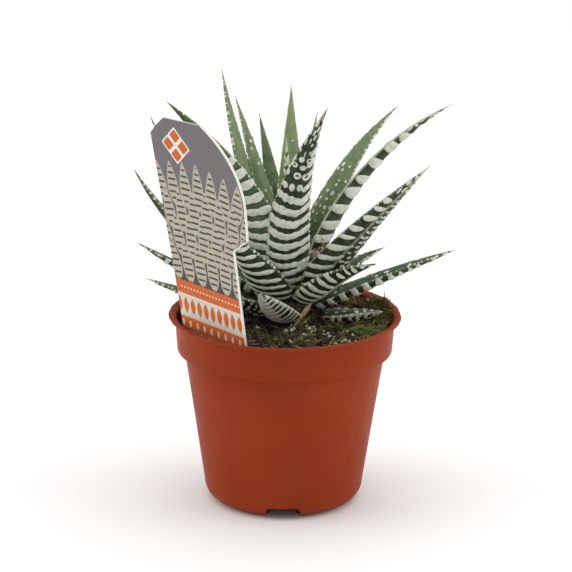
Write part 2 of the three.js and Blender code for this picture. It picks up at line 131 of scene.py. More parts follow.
@dataclass
class Surface:
    """A material in the making, with the few node patterns that the finishes share."""

    name: str
    material: bpy.types.Material = field(init=False)
    tree: bpy.types.NodeTree = field(init=False)
    shader: bpy.types.Node = field(init=False)
    place: Socket = field(init=False)

    def __post_init__(self) -> None:
        """Make the material with its shader and Object coordinates."""
        self.material = bpy.data.materials.new(self.name)
        self.material.use_nodes = True
        self.tree = self.material.node_tree
        self.shader = self.tree.nodes["Principled BSDF"]
        self.place = add_node(self.tree, "ShaderNodeTexCoord").outputs["Object"]

    def node(
        self, kind: str, inputs: dict[str | int, object] | None = None, **settings: object
    ) -> bpy.types.Node:
        """Add a node to this material's tree."""
        return add_node(self.tree, kind, inputs, **settings)

    def grain(self, size_mm: float, detail: float = 3.0, roughness: float = 0.55) -> Socket:
        """Noise whose blotches are about size_mm across.

        Args:
            size_mm: blotch size in millimetres.
            detail: number of finer octaves.
            roughness: strength of the finer octaves.

        Returns:
            The noise value, about 0 to 1.
        """
        inputs = {"Vector": self.place, "Scale": 1 / (size_mm * MM), "Detail": detail, "Roughness": roughness}
        return self.node("ShaderNodeTexNoise", inputs).outputs["Fac"]

    def attribute(self, name: str) -> Socket:
        """Value of a number stored on the mesh's points."""
        return self.node("ShaderNodeAttribute", attribute_name=name).outputs["Fac"]

    def math(self, operation: str, a: Number, b: Number = 0.0, c: Number = 0.0) -> Socket:
        """Result of a Math node on numbers or sockets."""
        return self.node("ShaderNodeMath", {0: a, 1: b, 2: c}, operation=operation).outputs[0]

    def span(
        self, value: Number, low: float, high: float, to_low: float = 0.0, to_high: float = 1.0
    ) -> Socket:
        """Map a value from low..high to to_low..to_high, held at the ends."""
        inputs = {"Value": value, "From Min": low, "From Max": high, "To Min": to_low, "To Max": to_high}
        return self.node("ShaderNodeMapRange", inputs).outputs[0]

    def mix(self, share: Number, a: Colour, b: Colour) -> Socket:
        """Blend two colours, given as sockets or hex text.

        Args:
            share: how much of the second colour shows.
            a: first colour.
            b: second colour.

        Returns:
            The blended colour.
        """
        colours = {key: linear(c) if isinstance(c, str) else c for key, c in ((6, a), (7, b))}
        return self.node("ShaderNodeMix", {0: share, **colours}, data_type="RGBA").outputs[2]

    def bump(
        self, height: Socket, distance_mm: float, strength: float = 1.0, under: Socket | None = None
    ) -> Socket:
        """Surface relief too fine for the mesh.

        Args:
            height: height pattern from 0 to 1.
            distance_mm: height of that pattern in millimetres.
            strength: share of the effect.
            under: normal socket of a coarser bump, where there is one.

        Returns:
            The normal.
        """
        inputs = {"Height": height, "Distance": distance_mm * MM, "Strength": strength}
        if under is not None:
            inputs["Normal"] = under
        return self.node("ShaderNodeBump", inputs).outputs["Normal"]

    def finish(
        self, colour: Colour, roughness: Number, normal: Socket | None = None, **fixed: float
    ) -> bpy.types.Material:
        """Connect the shader.

        Args:
            colour: base colour socket or hex text.
            roughness: roughness socket or number.
            normal: normal socket, where there is one.
            fixed: the shader's constant inputs, with _ for a space.

        Returns:
            The finished material.
        """
        wanted = {"Base Color": linear(colour) if isinstance(colour, str) else colour, "Roughness": roughness}
        if normal is not None:
            wanted["Normal"] = normal
        wanted.update({key.replace("_", " "): value for key, value in fixed.items()})
        feed(self.tree, self.shader, wanted)
        return self.material


# Mesh helpers.


def start_alone() -> None:
    """Deselect everything, so that an operator acts on new pieces only."""
    if bpy.context.object and bpy.context.object.mode != "OBJECT":
        bpy.ops.object.mode_set(mode="OBJECT")
    bpy.ops.object.select_all(action="DESELECT")


def read_points(mesh: bpy.types.Mesh) -> np.ndarray:
    """Read where a mesh's vertices are.

    Args:
        mesh: the mesh.

    Returns:
        Coordinates in metres, one row for each vertex.
    """
    flat = np.empty(len(mesh.vertices) * 3)
    mesh.vertices.foreach_get("co", flat)
    return flat.reshape(-1, 3)


def write_points(mesh: bpy.types.Mesh, points_mm: np.ndarray) -> None:
    """Move a mesh's vertices to points given in millimetres."""
    mesh.vertices.foreach_set("co", (points_mm * MM).ravel())
    mesh.update()


def store(mesh: bpy.types.Mesh, name: str, values: np.ndarray) -> None:
    """Keep one number per vertex under a name that materials read."""
    layer = mesh.attributes.new(name, "FLOAT", "POINT")
    layer.data.foreach_set("value", np.ascontiguousarray(values, dtype=np.float32))


def turn_outwards(obj: bpy.types.Object) -> None:
    """Point a closed mesh's faces outwards.

    Args:
        obj: the piece, closed all round.
    """
    shape = bmesh.new()
    shape.from_mesh(obj.data)
    if shape.calc_volume(signed=True) < 0:
        bmesh.ops.reverse_faces(shape, faces=shape.faces)
        shape.to_mesh(obj.data)
    shape.free()


def smooth(obj: bpy.types.Object, angle: float = 180.0) -> None:
    """Shade a piece smooth.

    Args:
        obj: the piece.
        angle: sharpest angle in degrees that is shaded over; at 180 every edge is.
    """
    start_alone()
    obj.select_set(True)
    bpy.context.view_layer.objects.active = obj
    if angle >= 180:
        bpy.ops.object.shade_smooth()
    else:
        bpy.ops.object.shade_smooth_by_angle(angle=math.radians(angle))
    obj.select_set(False)


def apply_modifier(obj: bpy.types.Object, kind: str, **settings: object) -> None:
    """Shape a piece with a modifier, and apply it.

    Args:
        obj: the piece.
        kind: Blender's name of the modifier type.
        settings: attributes of the modifier.
    """
    modifier = obj.modifiers.new(kind.lower(), kind)
    for name, value in settings.items():
        setattr(modifier, name, value)
    start_alone()
    bpy.context.view_layer.objects.active = obj
    bpy.ops.object.modifier_apply(modifier=modifier.name)


def hand_over(obj: bpy.types.Object, name: str, material: bpy.types.Material, slot: str, *nodes: str) -> None:
    """Name a finished piece, dress it and set it on the frame.

    Args:
        obj: the piece, with its place in its mesh.
        name: the piece's name.
        material: its finish.
        slot: the record's material slot; not used.
        nodes: CAD nodes that it replaces.
    """
    obj.name = name
    obj.data.name = name
    obj.data.materials.clear()
    obj.data.materials.append(material)
    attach(obj, ROOT_BODY)
    if nodes:
        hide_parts(*nodes)
    LOG.info("%s: %d faces", name, len(obj.data.polygons))


def sphere_primitive(around: int, along: int) -> tuple[bpy.types.Object, np.ndarray, np.ndarray]:
    """Add a sphere that a closed piece is drawn out of.

    Args:
        around: points round the sphere.
        along: steps from its lower to its upper pole.

    Returns:
        The object, and for each vertex its share of the way up (0 to 1) and its angle round.
    """
    start_alone()
    bpy.ops.mesh.primitive_uv_sphere_add(segments=around, ring_count=along, radius=1, calc_uvs=False)
    ball = bpy.context.object
    points = read_points(ball.data)
    rise = 1 - np.arccos(np.clip(points[:, 2], -1, 1)) / math.pi
    rise = np.round(rise * along) / along
    turn = np.arctan2(points[:, 1], points[:, 0])
    return ball, rise, turn


def strew(faces: list[Face], moved: np.ndarray, tints: np.ndarray) -> bpy.types.Object:
    """Join many moved copies of one small mesh into a piece.

    Args:
        faces: the small mesh's faces.
        moved: points of each copy in millimetres, copies by points by 3.
        tints: one number per copy, stored for the material.

    Returns:
        The new object.
    """
    count, size = moved.shape[:2]
    every = [
        tuple(corner + size * copy for corner in face)
        for copy in range(count)
        for face in faces
    ]
    mesh = bpy.data.meshes.new("strewn")
    mesh.from_pydata((moved.reshape(-1, 3) * MM).tolist(), [], every)
    store(mesh, "tint", np.repeat(tints, size))
    obj = bpy.data.objects.new("strewn", mesh)
    bpy.context.scene.collection.objects.link(obj)
    return obj


def pebble_shape(levels: int) -> tuple[list[Face], np.ndarray]:
    """Small mesh that a lump is made from.

    Args:
        levels: how often an icosahedron's faces are split, counted from 1.

    Returns:
        Faces and points of an icosphere of radius 1.
    """
    start_alone()
    bpy.ops.mesh.primitive_ico_sphere_add(subdivisions=levels, radius=1)
    ball = bpy.context.object
    points = read_points(ball.data)
    faces = [tuple(p.vertices) for p in ball.data.polygons]
    bpy.data.objects.remove(ball)
    return faces, points


def ripple(x: np.ndarray, y: np.ndarray, per_mm: float, layer: float) -> np.ndarray:
    """Smooth noise over the ground.

    Args:
        x, y: places in millimetres.
        per_mm: how many cells of the noise lie in a millimetre.
        layer: height of the slice through the noise, which keeps patterns apart.

    Returns:
        One value per place, about -1 to 1.
    """
    return np.array([noise.noise(Vector((a * per_mm, b * per_mm, layer))) for a, b in zip(x, y)])


@dataclass(frozen=True)
class Strands:
    """Many thin curved strands of one kind: shoots, fibres, stalks or blades, in millimetres.

    Each runs from its start along its heading and bends off as it goes. Flat is the ratio of its
    two thicknesses. It opens from foot_share of its radius to all of it at widest, and then closes
    at the rate of taper. No strand may run along ASIDE, which gives each its sideways direction.
    """

    ASIDE = (0.13, 0.21, 0.97)
    start: np.ndarray
    heading: np.ndarray
    bend: np.ndarray
    radius: np.ndarray
    flat: float = 1.0
    taper: float = 0.8
    foot_share: float = 1.0
    widest: float = 0.3
    sides: int = 5
    rings: int = 7

    def build(self, tints: np.ndarray) -> bpy.types.Object:
        """Draw every strand out of one small sphere.

        Args:
            tints: one number per strand, stored for the material.

        Returns:
            The joined strands.
        """
        ball, rise, turn = sphere_primitive(self.sides, self.rings)
        faces = [tuple(p.vertices) for p in ball.data.polygons]
        bpy.data.objects.remove(ball)
        length = np.linalg.norm(self.heading, axis=1, keepdims=True)
        ahead = self.heading / length
        side = np.cross(ahead, np.array(self.ASIDE))
        side /= np.linalg.norm(side, axis=1, keepdims=True)
        other = np.cross(side, ahead)
        opening = self.foot_share + (1 - self.foot_share) * rise / self.widest
        closing = np.clip((1 - rise) / (1 - self.widest), 0, 1) ** self.taper
        girth = np.where(rise < self.widest, opening, closing)
        girth[rise == 0] = 0
        r = self.radius[:, None, None]
        moved = (
            self.start[:, None, :]
            + self.heading[:, None, :] * rise[None, :, None]
            + self.bend[:, None, :] * (rise ** 2)[None, :, None]
            + side[:, None, :] * (np.cos(turn) * girth)[None, :, None] * r
            + other[:, None, :] * (np.sin(turn) * girth)[None, :, None] * r * self.flat
        )
        return strew(faces, moved, tints)


def smoothstep(low: float, high: float, x: np.ndarray) -> np.ndarray:
    """Smooth rise from 0 at low to 1 at high."""
    share = np.clip((x - low) / (high - low), 0, 1)
    return share * share * (3 - 2 * share)


def random_turns(rng: np.random.Generator, count: int) -> np.ndarray:
    """Random turns, spread evenly over all that there are.

    Args:
        rng: source of the random draws.
        count: how many.

    Returns:
        Rotation matrices, count by 3 by 3.
    """
    q = rng.normal(size=(count, 4))
    q /= np.linalg.norm(q, axis=1, keepdims=True)
    w, x, y, z = q.T
    rows = [
        [1 - 2 * (y * y + z * z), 2 * (x * y - z * w), 2 * (x * z + y * w)],
        [2 * (x * y + z * w), 1 - 2 * (x * x + z * z), 2 * (y * z - x * w)],
        [2 * (x * z - y * w), 2 * (y * z + x * w), 1 - 2 * (x * x + y * y)],
    ]
    return np.array(rows).transpose(2, 0, 1)


# Leaves.


@dataclass(frozen=True)
class BandLook:
    """How the white tubercles lie on a leaf's outer face, in millimetres and shares.

    Near the foot they run together into bands, and past breaks_at they stand apart. A pitch is
    the distance from one row to the next, and the pitch at the middle is reached at mid_at. Lobe
    and dot are the distances across within a row, in bands and of single spots. Cover and spread
    are the shares of the room along and across that a spot fills, and relief is its height. From
    hollow_at they are rings, and from streaks_at thin streaks along the leaf. Inset is the share
    of the half width that stays free at the margins, and hug moves single spots to the left.
    """

    foot_pitch: float
    mid_pitch: float
    tip_pitch: float
    cover: float
    breaks_at: float
    lobe: float
    dot: float
    mid_at: float = 0.35
    relief: float = 0.42
    spread: float = 0.4
    inset: float = 0.0
    hollow_at: float = 2.0
    streaks_at: float = 0.78
    hug: float = 0.0

    def pitch(self, t: float) -> float:
        """Distance from a row to the next.

        Args:
            t: the row's share of the leaf's length, from the foot.

        Returns:
            The distance in millimetres.
        """
        early = self.foot_pitch + (self.mid_pitch - self.foot_pitch) * min(1.0, t / self.mid_at)
        late = step_at(self.breaks_at, self.breaks_at + 0.2, t)
        return early + (self.tip_pitch - early) * late


class Marking(Enum):
    """Kinds of banding seen on the rosette."""

    BOLD = BandLook(3.1, 4.9, 2.9, cover=0.66, breaks_at=0.52, lobe=2.4, dot=2.9, hollow_at=0.62,
                    streaks_at=0.72)
    EDGE = BandLook(3.1, 4.9, 4.2, cover=0.62, breaks_at=0.8, lobe=2.6, dot=3.0, streaks_at=0.8)
    WIDE = BandLook(4.4, 5.3, 4.8, cover=0.66, breaks_at=0.7, lobe=3.4, dot=3.4, streaks_at=0.72)
    OVAL = BandLook(4.8, 6.0, 7.4, cover=0.62, breaks_at=0.3, lobe=9.0, dot=9.0, mid_at=0.3, spread=0.6)
    LADDER = BandLook(4.4, 5.6, 5.0, cover=0.53, breaks_at=0.4, lobe=2.4, dot=9.0, spread=0.48, hug=0.12)
    SLATS = BandLook(3.2, 4.0, 3.3, cover=0.56, breaks_at=0.5, lobe=2.6, dot=9.0, inset=0.02,
                     streaks_at=0.88, hug=0.14)
    COARSE = BandLook(3.0, 4.4, 4.2, cover=0.5, breaks_at=0.85, lobe=2.6, dot=3.0, inset=0.12)
    FINE = BandLook(2.1, 2.7, 2.2, cover=0.5, breaks_at=0.9, lobe=2.2, dot=2.4, relief=0.35, streaks_at=2.0)
    BLOTS = BandLook(4.4, 4.6, 3.1, cover=0.6, breaks_at=0.5, lobe=3.0, dot=9.0, spread=0.5, inset=0.03,
                     streaks_at=0.8)
    RINGS = BandLook(2.8, 3.0, 2.8, cover=0.5, breaks_at=0.0, lobe=3.0, dot=3.0, spread=0.34, hollow_at=0.3)
    DOTS = BandLook(2.2, 2.5, 2.6, cover=0.54, breaks_at=0.0, lobe=2.2, dot=2.2, relief=0.36, hollow_at=0.5)
    SPARSE = BandLook(3.2, 4.2, 5.0, cover=0.42, breaks_at=0.0, lobe=3.2, dot=3.2, relief=0.34, spread=0.3,
                      streaks_at=0.5)
    LOBES = BandLook(2.9, 3.1, 2.6, cover=0.5, breaks_at=0.62, lobe=2.0, dot=2.4, relief=0.4,
                     streaks_at=2.0)
    BARE = BandLook(90.0, 90.0, 90.0, cover=0.01, breaks_at=0.0, lobe=9.0, dot=9.0, relief=0.3,
                    streaks_at=2.0)


@dataclass(frozen=True)
class LeafForm:
    """One leaf: where it leaves the crown, how its axis bends, its size and its marking.

    Lengths are in millimetres and angles in degrees; lean is from upright, at foot and tip. The
    leaf starts at the height foot and the distance reach from the crown. Roll turns it about its
    axis, sway bends it sideways, and keel is the keel's place across towards the tip.

    Places across the outer face run from -1 at the left margin to 1 at the right one, seen from
    outside with the tip up. Where beyond is given, it marks the part right of the place divide.
    Nothing is marked between the two places of bare, which is smooth skin, or past the share
    until of the length. Sweep bows the bands and slant tilts them. Green and upper_green run from
    dark to light, on the outer and the inner face. Upper_dots is how many of the inner face's
    dots show, as far as upper_until, and teeth is the size of those on the margins. Margin_line
    and keel_line are how strong the pale lines there are.

    KEEL_SIDE and CHANNEL are the shares of the depth that the outer face stands out and the
    inner face is hollowed.
    """

    KEEL_SIDE = 0.78
    CHANNEL = 0.22
    azimuth: float
    foot: float
    reach: float
    lean: tuple[float, float]
    length: float
    width: float
    depth: float
    roll: float = 0.0
    sway: float = 0.0
    keel: float = 0.0
    marking: Marking = Marking.SPARSE
    beyond: Marking | None = None
    divide: float = 0.0
    until: float = 0.97
    sweep: float = 0.26
    slant: float = 0.0
    green: float = 0.15
    upper_green: float = 0.45
    dry_tip: float = 0.0
    upper_dots: float = 0.0
    upper_until: float = 0.9
    teeth: float = 0.3
    margin_line: float = 0.3
    keel_line: float = 0.0
    bare: tuple[float, float] = (2.0, 2.0)

    def axis(self, t: np.ndarray) -> tuple[np.ndarray, np.ndarray, np.ndarray]:
        """Follow the bent axis.

        Args:
            t: shares of the length, 0 at the foot.

        Returns:
            Points, outward directions on the keel side, and directions across.
        """
        heading = math.radians(self.azimuth)
        start = math.radians(self.lean[0])
        bend = math.radians(self.lean[1] - self.lean[0]) or 1e-6
        lean = start + bend * t
        radial = np.array([math.cos(heading), math.sin(heading), 0.0])
        left = np.array([-math.sin(heading), math.cos(heading), 0.0])
        up = np.array([0.0, 0.0, 1.0])
        forward = self.length / bend * (math.cos(start) - np.cos(lean))
        rise = self.length / bend * (np.sin(lean) - math.sin(start))
        points = (
            np.array([*Rosette.CROWN, self.foot])
            + np.outer(self.reach + forward, radial)
            + np.outer(self.sway * t * t, left)
            + np.outer(rise, up)
        )
        along = np.outer(np.sin(lean), radial) + np.outer(np.cos(lean), up)
        keelward = np.outer(np.cos(lean), radial) - np.outer(np.sin(lean), up)
        roll = math.radians(self.roll)
        out = keelward * math.cos(roll) + np.cross(along, keelward) * math.sin(roll)
        return points, out, np.cross(along, out)

    def half_width(self, t: np.ndarray) -> np.ndarray:
        """Half of the leaf's width at t."""
        share = share_along(t, widest=0.2, foot_loss=0.28, power=1.3, closing=1.05)
        return np.maximum(self.width / 2 * share, 0.12)

    def half_at(self, place: float) -> float:
        """Half of the leaf's width at a distance from its foot in millimetres."""
        return float(self.half_width(np.array([place / self.length]))[0])

    def thickness(self, t: np.ndarray) -> np.ndarray:
        """The leaf's thickness at t."""
        share = share_along(t, widest=0.3, foot_loss=0.4, power=1.5, closing=0.85)
        return np.maximum(self.depth * share, 0.16)

    def crest(self, t: np.ndarray) -> np.ndarray:
        """Place of the keel across the outer face, -1 and 1 at the margins."""
        return self.keel * smoothstep(0.25, 0.6, t)

    def from_keel(self, t: np.ndarray, u: np.ndarray) -> np.ndarray:
        """Place across the outer face counted from the keel, -1 and 1 at the margins."""
        crest = self.crest(t)
        return np.where(u < crest, (u - crest) / (1 + crest), (u - crest) / (1 - crest))

    def skin(self, t: np.ndarray, beta: np.ndarray) -> np.ndarray:
        """Points of the leaf without its relief.

        Args:
            t: shares of the length.
            beta: angles round the leaf, 0 on the keel, a quarter turn at the margins.

        Returns:
            Points in millimetres.
        """
        u = np.sin(beta)
        depth = self.thickness(t)
        swell = self.KEEL_SIDE * depth * (1 - np.abs(self.from_keel(t, u)) ** 1.75) ** 0.78
        hollow = -self.CHANNEL * depth * (1 - u * u) ** 0.7
        points, out, across = self.axis(t)
        rise = np.where(np.cos(beta) >= 0, swell, hollow)
        return points + across * (u * self.half_width(t))[:, None] + out * rise[:, None]


def step_at(low: float, high: float, x: float) -> float:
    """Smooth rise from 0 at low to 1 at high for one number."""
    return float(smoothstep(low, high, np.array([x]))[0])


def share_along(t: np.ndarray, widest: float, foot_loss: float, power: float, closing: float) -> np.ndarray:
    """Share of the full size along a leaf: less at the foot, full at widest, none at the tip.

    Args:
        t: shares of the length, 0 at the foot.
        widest: where it is full.
        foot_loss: how much is missing at the foot.
        power, closing: how it rounds off from there, and how it closes at the tip.

    Returns:
        One share for each t.
    """
    foot = 1 - foot_loss * (np.clip(widest - t, 0, 1) / widest) ** 2
    x = np.clip((t - widest) / (1 - widest), 0, 1)
    return np.where(t < widest, foot, (1 - x ** power) ** closing)


@dataclass(frozen=True)
class Tubercles:
    """Centres and half-sizes of raised spots on an unrolled leaf face, in millimetres."""

    spots: list[Spot]

    def field(self, s: np.ndarray, x: np.ndarray, fusion: float = 6.0) -> np.ndarray:
        """Closeness to the spots: above 0 inside them, with near ones run together.

        Args:
            s: distances along the leaf.
            x: distances across it.
            fusion: how sharply neighbouring spots stay apart.

        Returns:
            One value per point, about 1 at a spot's centre and at least -1.
        """
        total = np.full(len(s), 1e-9)
        for along, across, half_along, half_across in self.spots:
            distance = ((s - along) / half_along) ** 2 + ((x - across) / half_across) ** 2
            total += np.exp(fusion * np.maximum(1 - distance, -3))
        return np.clip(np.log(np.maximum(total, math.exp(-fusion))) / fusion, -1, 1.2)


@dataclass(frozen=True)
class LeafSurface:
    """A leaf's mesh with its bands raised by formula.

    Step is the mesh's fineness along the leaf. Fades are shares of the length over which the
    relief dies away at the tip and the foot, and outer_share is the share of the points round the
    leaf that lie on its outer face. The other sizes are in millimetres.
    """

    form: LeafForm
    number: int
    step: float = 0.42
    around: int = 60
    outer_share: float = 0.66
    least_along: int = 70
    tip_fade: float = 0.25
    foot_fade: float = 0.04
    ring_depth: float = 1.4
    small_relief: float = 0.3
    keel_rings: float = 3.1
    keel_line_width: float = 0.42
    margin_line_width: float = 0.24
    first_row: float = 1.2
    fused_spread: float = 0.72
    tip_narrowing: float = 0.3
    hollow_chance: float = 0.7
    hollow_size: float = 0.42
    streak_chance: float = 0.8
    streak_lanes: tuple[float, ...] = (-0.72, -0.2, 0.3, 0.78)
    streaks_until: float = 0.97

    def rows(
        self, rng: np.random.Generator, look: BandLook, reach: tuple[float, float]
    ) -> tuple[list[Spot], list[Spot]]:
        """Lay out one look's tubercles, row by row.

        A look runs from fused bands near the foot to spots that stand apart: apart is 0 for the
        first and 1 for the second, and every spread and unevenness below goes by it.

        Args:
            rng: source of the random draws.
            look: the banding.
            reach: the places across that it lies between, -1 and 1 at the margins.

        Returns:
            The spots, and the hollows of those that are rings.
        """
        form = self.form
        spots, hollows = [], []
        place, row = self.first_row, 0
        while place < form.length * min(form.until, look.streaks_at):
            t = place / form.length
            pitch = look.pitch(t)
            half = form.half_at(place)
            low, high = (max(-1 + look.inset, min(1 - look.inset, side)) * half for side in reach)
            apart = step_at(look.breaks_at - 0.03, look.breaks_at + 0.04, t) if look.breaks_at > 0 else 1.0
            spacing = look.lobe + (look.dot - look.lobe) * apart
            count = max(1, round((high - low) / spacing))
            stagger = 0.5 * apart if row % 2 and count > 1 else 0.0
            width = (high - low) / count
            slant = rng.normal(0, 0.05)
            narrow = 1 - self.tip_narrowing * step_at(0.7, 0.95, t)
            for k in range(count + (1 if stagger else 0)):
                column = k + 0.5 - stagger - look.hug * apart
                across = low + column * width + apart * rng.normal(0, 0.07) * width
                along = place + slant * across + rng.normal(0, 0.03 + 0.05 * apart) * pitch
                half_along = pitch * look.cover / 2 * (1 + rng.normal(0, 0.06 + 0.08 * apart))
                spread = self.fused_spread + (look.spread - self.fused_spread) * apart
                half_across = width * spread * narrow
                half_across = max(half_across * (1 + rng.normal(0, 0.06)), 0.2)
                spots.append((along, across, max(half_along, 0.25), half_across))
                if t > look.hollow_at and rng.uniform() < self.hollow_chance:
                    size = self.hollow_size
                    hollows.append((along + 0.1, across, size * half_along, size * half_across))
            place += pitch
            row += 1
        return spots + self.streaks(rng, look, reach), hollows

    def streaks(self, rng: np.random.Generator, look: BandLook, reach: tuple[float, float]) -> list[Spot]:
        """Lay thin pale streaks along the leaf near its tip.

        Args:
            rng: source of the random draws.
            look: the banding, which says where they start.
            reach: the places across that they lie between.

        Returns:
            The streaks, as long narrow spots.
        """
        form = self.form
        spots = []
        for lane in self.streak_lanes:
            if not reach[0] < lane < reach[1]:
                continue
            place = form.length * look.streaks_at + rng.uniform(0.5, 2.5)
            while place < form.length * min(form.until, self.streaks_until):
                long = rng.uniform(0.7, 1.6)
                half = form.half_at(place)
                if rng.uniform() < self.streak_chance:
                    across = (lane + rng.normal(0, 0.06)) * half
                    spots.append((place + long, across, long, rng.uniform(0.22, 0.4)))
                place += 2 * long + rng.uniform(0.5, 1.8)
        return spots

    def outer_spots(self, rng: np.random.Generator) -> tuple[Tubercles, Tubercles]:
        """Lay out the tubercles of the outer face.

        Args:
            rng: source of the random draws.

        Returns:
            The tubercles, and the hollows in those that are rings.
        """
        form = self.form
        parts = [(form.marking, (-1.0, 1.0))]
        if form.beyond is not None:
            parts = [(form.marking, (-1.0, form.divide)), (form.beyond, (form.divide, 1.0))]
        spots, hollows = [], []
        for marking, reach in parts:
            more_spots, more_hollows = self.rows(rng, marking.value, reach)
            spots += more_spots
            hollows += more_hollows
        return Tubercles(spots), Tubercles(hollows)

    def upper_spots(self, rng: np.random.Generator) -> Tubercles:
        """Lay the small tubercles of the inner face in loose rows, as many as upper_dots says.

        Args:
            rng: source of the random draws.

        Returns:
            The tubercles.
        """
        form = self.form
        spots = []
        place = 0.1 * form.length
        while form.upper_dots > 0 and place < form.upper_until * form.length:
            half = form.half_at(place)
            count = max(1, round(1.7 * half / 2.5))
            shift = rng.uniform(-0.3, 0.3)
            for k in range(count):
                if rng.uniform() < form.upper_dots:
                    across = ((k + 0.5 + shift) / count * 2 - 1) * 0.85 * half + rng.normal(0, 0.25)
                    size = rng.uniform(0.45, 0.85)
                    spots.append((place + rng.normal(0, 0.45), across, size * rng.uniform(1, 1.5), size))
            place += rng.uniform(2.5, 3.5)
        return Tubercles(spots)

    def margin_spots(self, rng: np.random.Generator) -> Tubercles:
        """Lay a row of small teeth along one margin.

        Args:
            rng: source of the random draws.

        Returns:
            The teeth, whose distance across is from the margin.
        """
        form = self.form
        spots = []
        place = 0.08 * form.length
        while place < 0.95 * form.length:
            size = form.teeth * rng.uniform(0.6, 1.35)
            spots.append((place, 0.0, size * rng.uniform(0.9, 1.6), size))
            place += rng.uniform(1.2, 3.3) * (0.55 + form.teeth)
        return Tubercles(spots)

    def bare_share(self, u: np.ndarray) -> np.ndarray:
        """How bare the outer face is at places across it."""
        low, high = self.form.bare
        return smoothstep(low - 0.05, low + 0.05, u) * (1 - smoothstep(high - 0.06, high + 0.14, u))

    def build(self) -> bpy.types.Object:
        """Draw the leaf out of a sphere and raise its bands.

        Returns:
            The leaf with the numbers that its finish reads.
        """
        form = self.form
        rng = Draws.LEAVES.begin(self.number)
        steps = max(self.least_along, math.ceil(form.length / self.step))
        leaf, t, turn = sphere_primitive(self.around, steps)
        outer_turn = self.outer_share * math.pi
        beyond = (np.abs(turn) - outer_turn) / (math.pi - outer_turn)
        share = np.where(beyond <= 0, turn / outer_turn, np.sign(turn) * (1 + beyond))
        beta = share * math.pi / 2
        base = form.skin(t, beta)
        normal = self.outward(t, beta, base)

        along = t * form.length
        half = form.half_width(t)
        u = np.sin(beta)
        on_outer = np.cos(beta) >= 0
        keelward = form.from_keel(t, u)
        fade = np.minimum(1, (1 - t) / self.tip_fade)
        lopsided = 1 + 0.5 * form.crest(t) * np.sign(keelward)
        sweep = form.sweep * half * np.minimum(1, t / 0.1) * fade * lopsided
        tilted = np.minimum(u, form.divide) if form.beyond else u
        swept = along - sweep * (keelward ** 2 - 0.35) - form.slant * tilted * half
        unrolled = np.where(on_outer, u * half, np.sign(u) * half * (4 - 3 * np.abs(u)))
        from_margin = half * (1 - np.abs(u))

        spots, hollows = self.outer_spots(rng)
        ringed = smoothstep(-0.4, 0.6, hollows.field(swept, unrolled))
        outer = spots.field(swept, unrolled) - self.ring_depth * ringed
        upper = np.where(on_outer, -1, self.upper_spots(rng).field(along, u * half))
        left_teeth, right_teeth = (
            np.where(u * side > 0, self.margin_spots(rng).field(along, from_margin), -1) for side in (-1, 1)
        )
        teeth = np.maximum(left_teeth, right_teeth)
        bare = np.where(on_outer, self.bare_share(u), 0)
        if form.beyond:
            outer = np.where(bare > 0.5, -1, outer)
        rounded = fade * np.minimum(1, t / self.foot_fade)
        lift = form.marking.value.relief * rounded * smoothstep(-0.12, 0.55, outer)
        small = smoothstep(-0.1, 0.7, np.maximum(upper, teeth))
        lift = np.maximum(lift, self.small_relief * rounded * small)
        write_points(leaf.data, base + normal * lift[:, None])

        beaded = 0.75 + 0.25 * np.sin(along * math.tau / self.keel_rings)
        from_divide = (u - form.divide) * half / self.keel_line_width
        keel_line = form.keel_line * beaded * np.exp(-(from_divide ** 2))
        keel_line *= smoothstep(0.12, 0.3, t)
        margin_line = form.margin_line * np.exp(-((from_margin / self.margin_line_width) ** 2))
        margin_line *= smoothstep(0.98, 0.9, t)
        numbers = {
            "pale": np.maximum(np.maximum(outer, upper), teeth) * 0.5 + 0.5,
            "upper": np.clip((np.abs(beta) - math.pi / 2) / 0.2 + 0.5, 0, 1),
            "run": t,
            "line": np.maximum(np.where(on_outer, keel_line, 0), margin_line),
            "bare": bare,
            "green": np.full(len(t), form.green),
            "upper_green": np.full(len(t), form.upper_green),
            "dry": np.full(len(t), form.dry_tip),
        }
        for name, values in numbers.items():
            store(leaf.data, name, values)
        turn_outwards(leaf)
        smooth(leaf)
        return leaf

    def outward(self, t: np.ndarray, beta: np.ndarray, base: np.ndarray) -> np.ndarray:
        """Directions straight out of the skin.

        Args:
            t: shares of the length.
            beta: angles round the leaf.
            base: the skin's points there.

        Returns:
            Unit vectors.
        """
        form = self.form
        small_t, small_beta = 0.003, 0.02
        inner_t = np.clip(t, small_t, 1 - small_t)
        length_way = form.skin(inner_t + small_t, beta) - form.skin(inner_t - small_t, beta)
        round_way = form.skin(inner_t, beta + small_beta) - form.skin(inner_t, beta - small_beta)
        normal = np.cross(length_way, round_way)
        normal /= np.maximum(np.linalg.norm(normal, axis=1, keepdims=True), 1e-9)
        centre, out, _ = form.axis(t)
        heart = centre + out * (0.25 * form.thickness(t))[:, None]
        return normal * np.where(((base - heart) * normal).sum(1) < 0, -1.0, 1.0)[:, None]


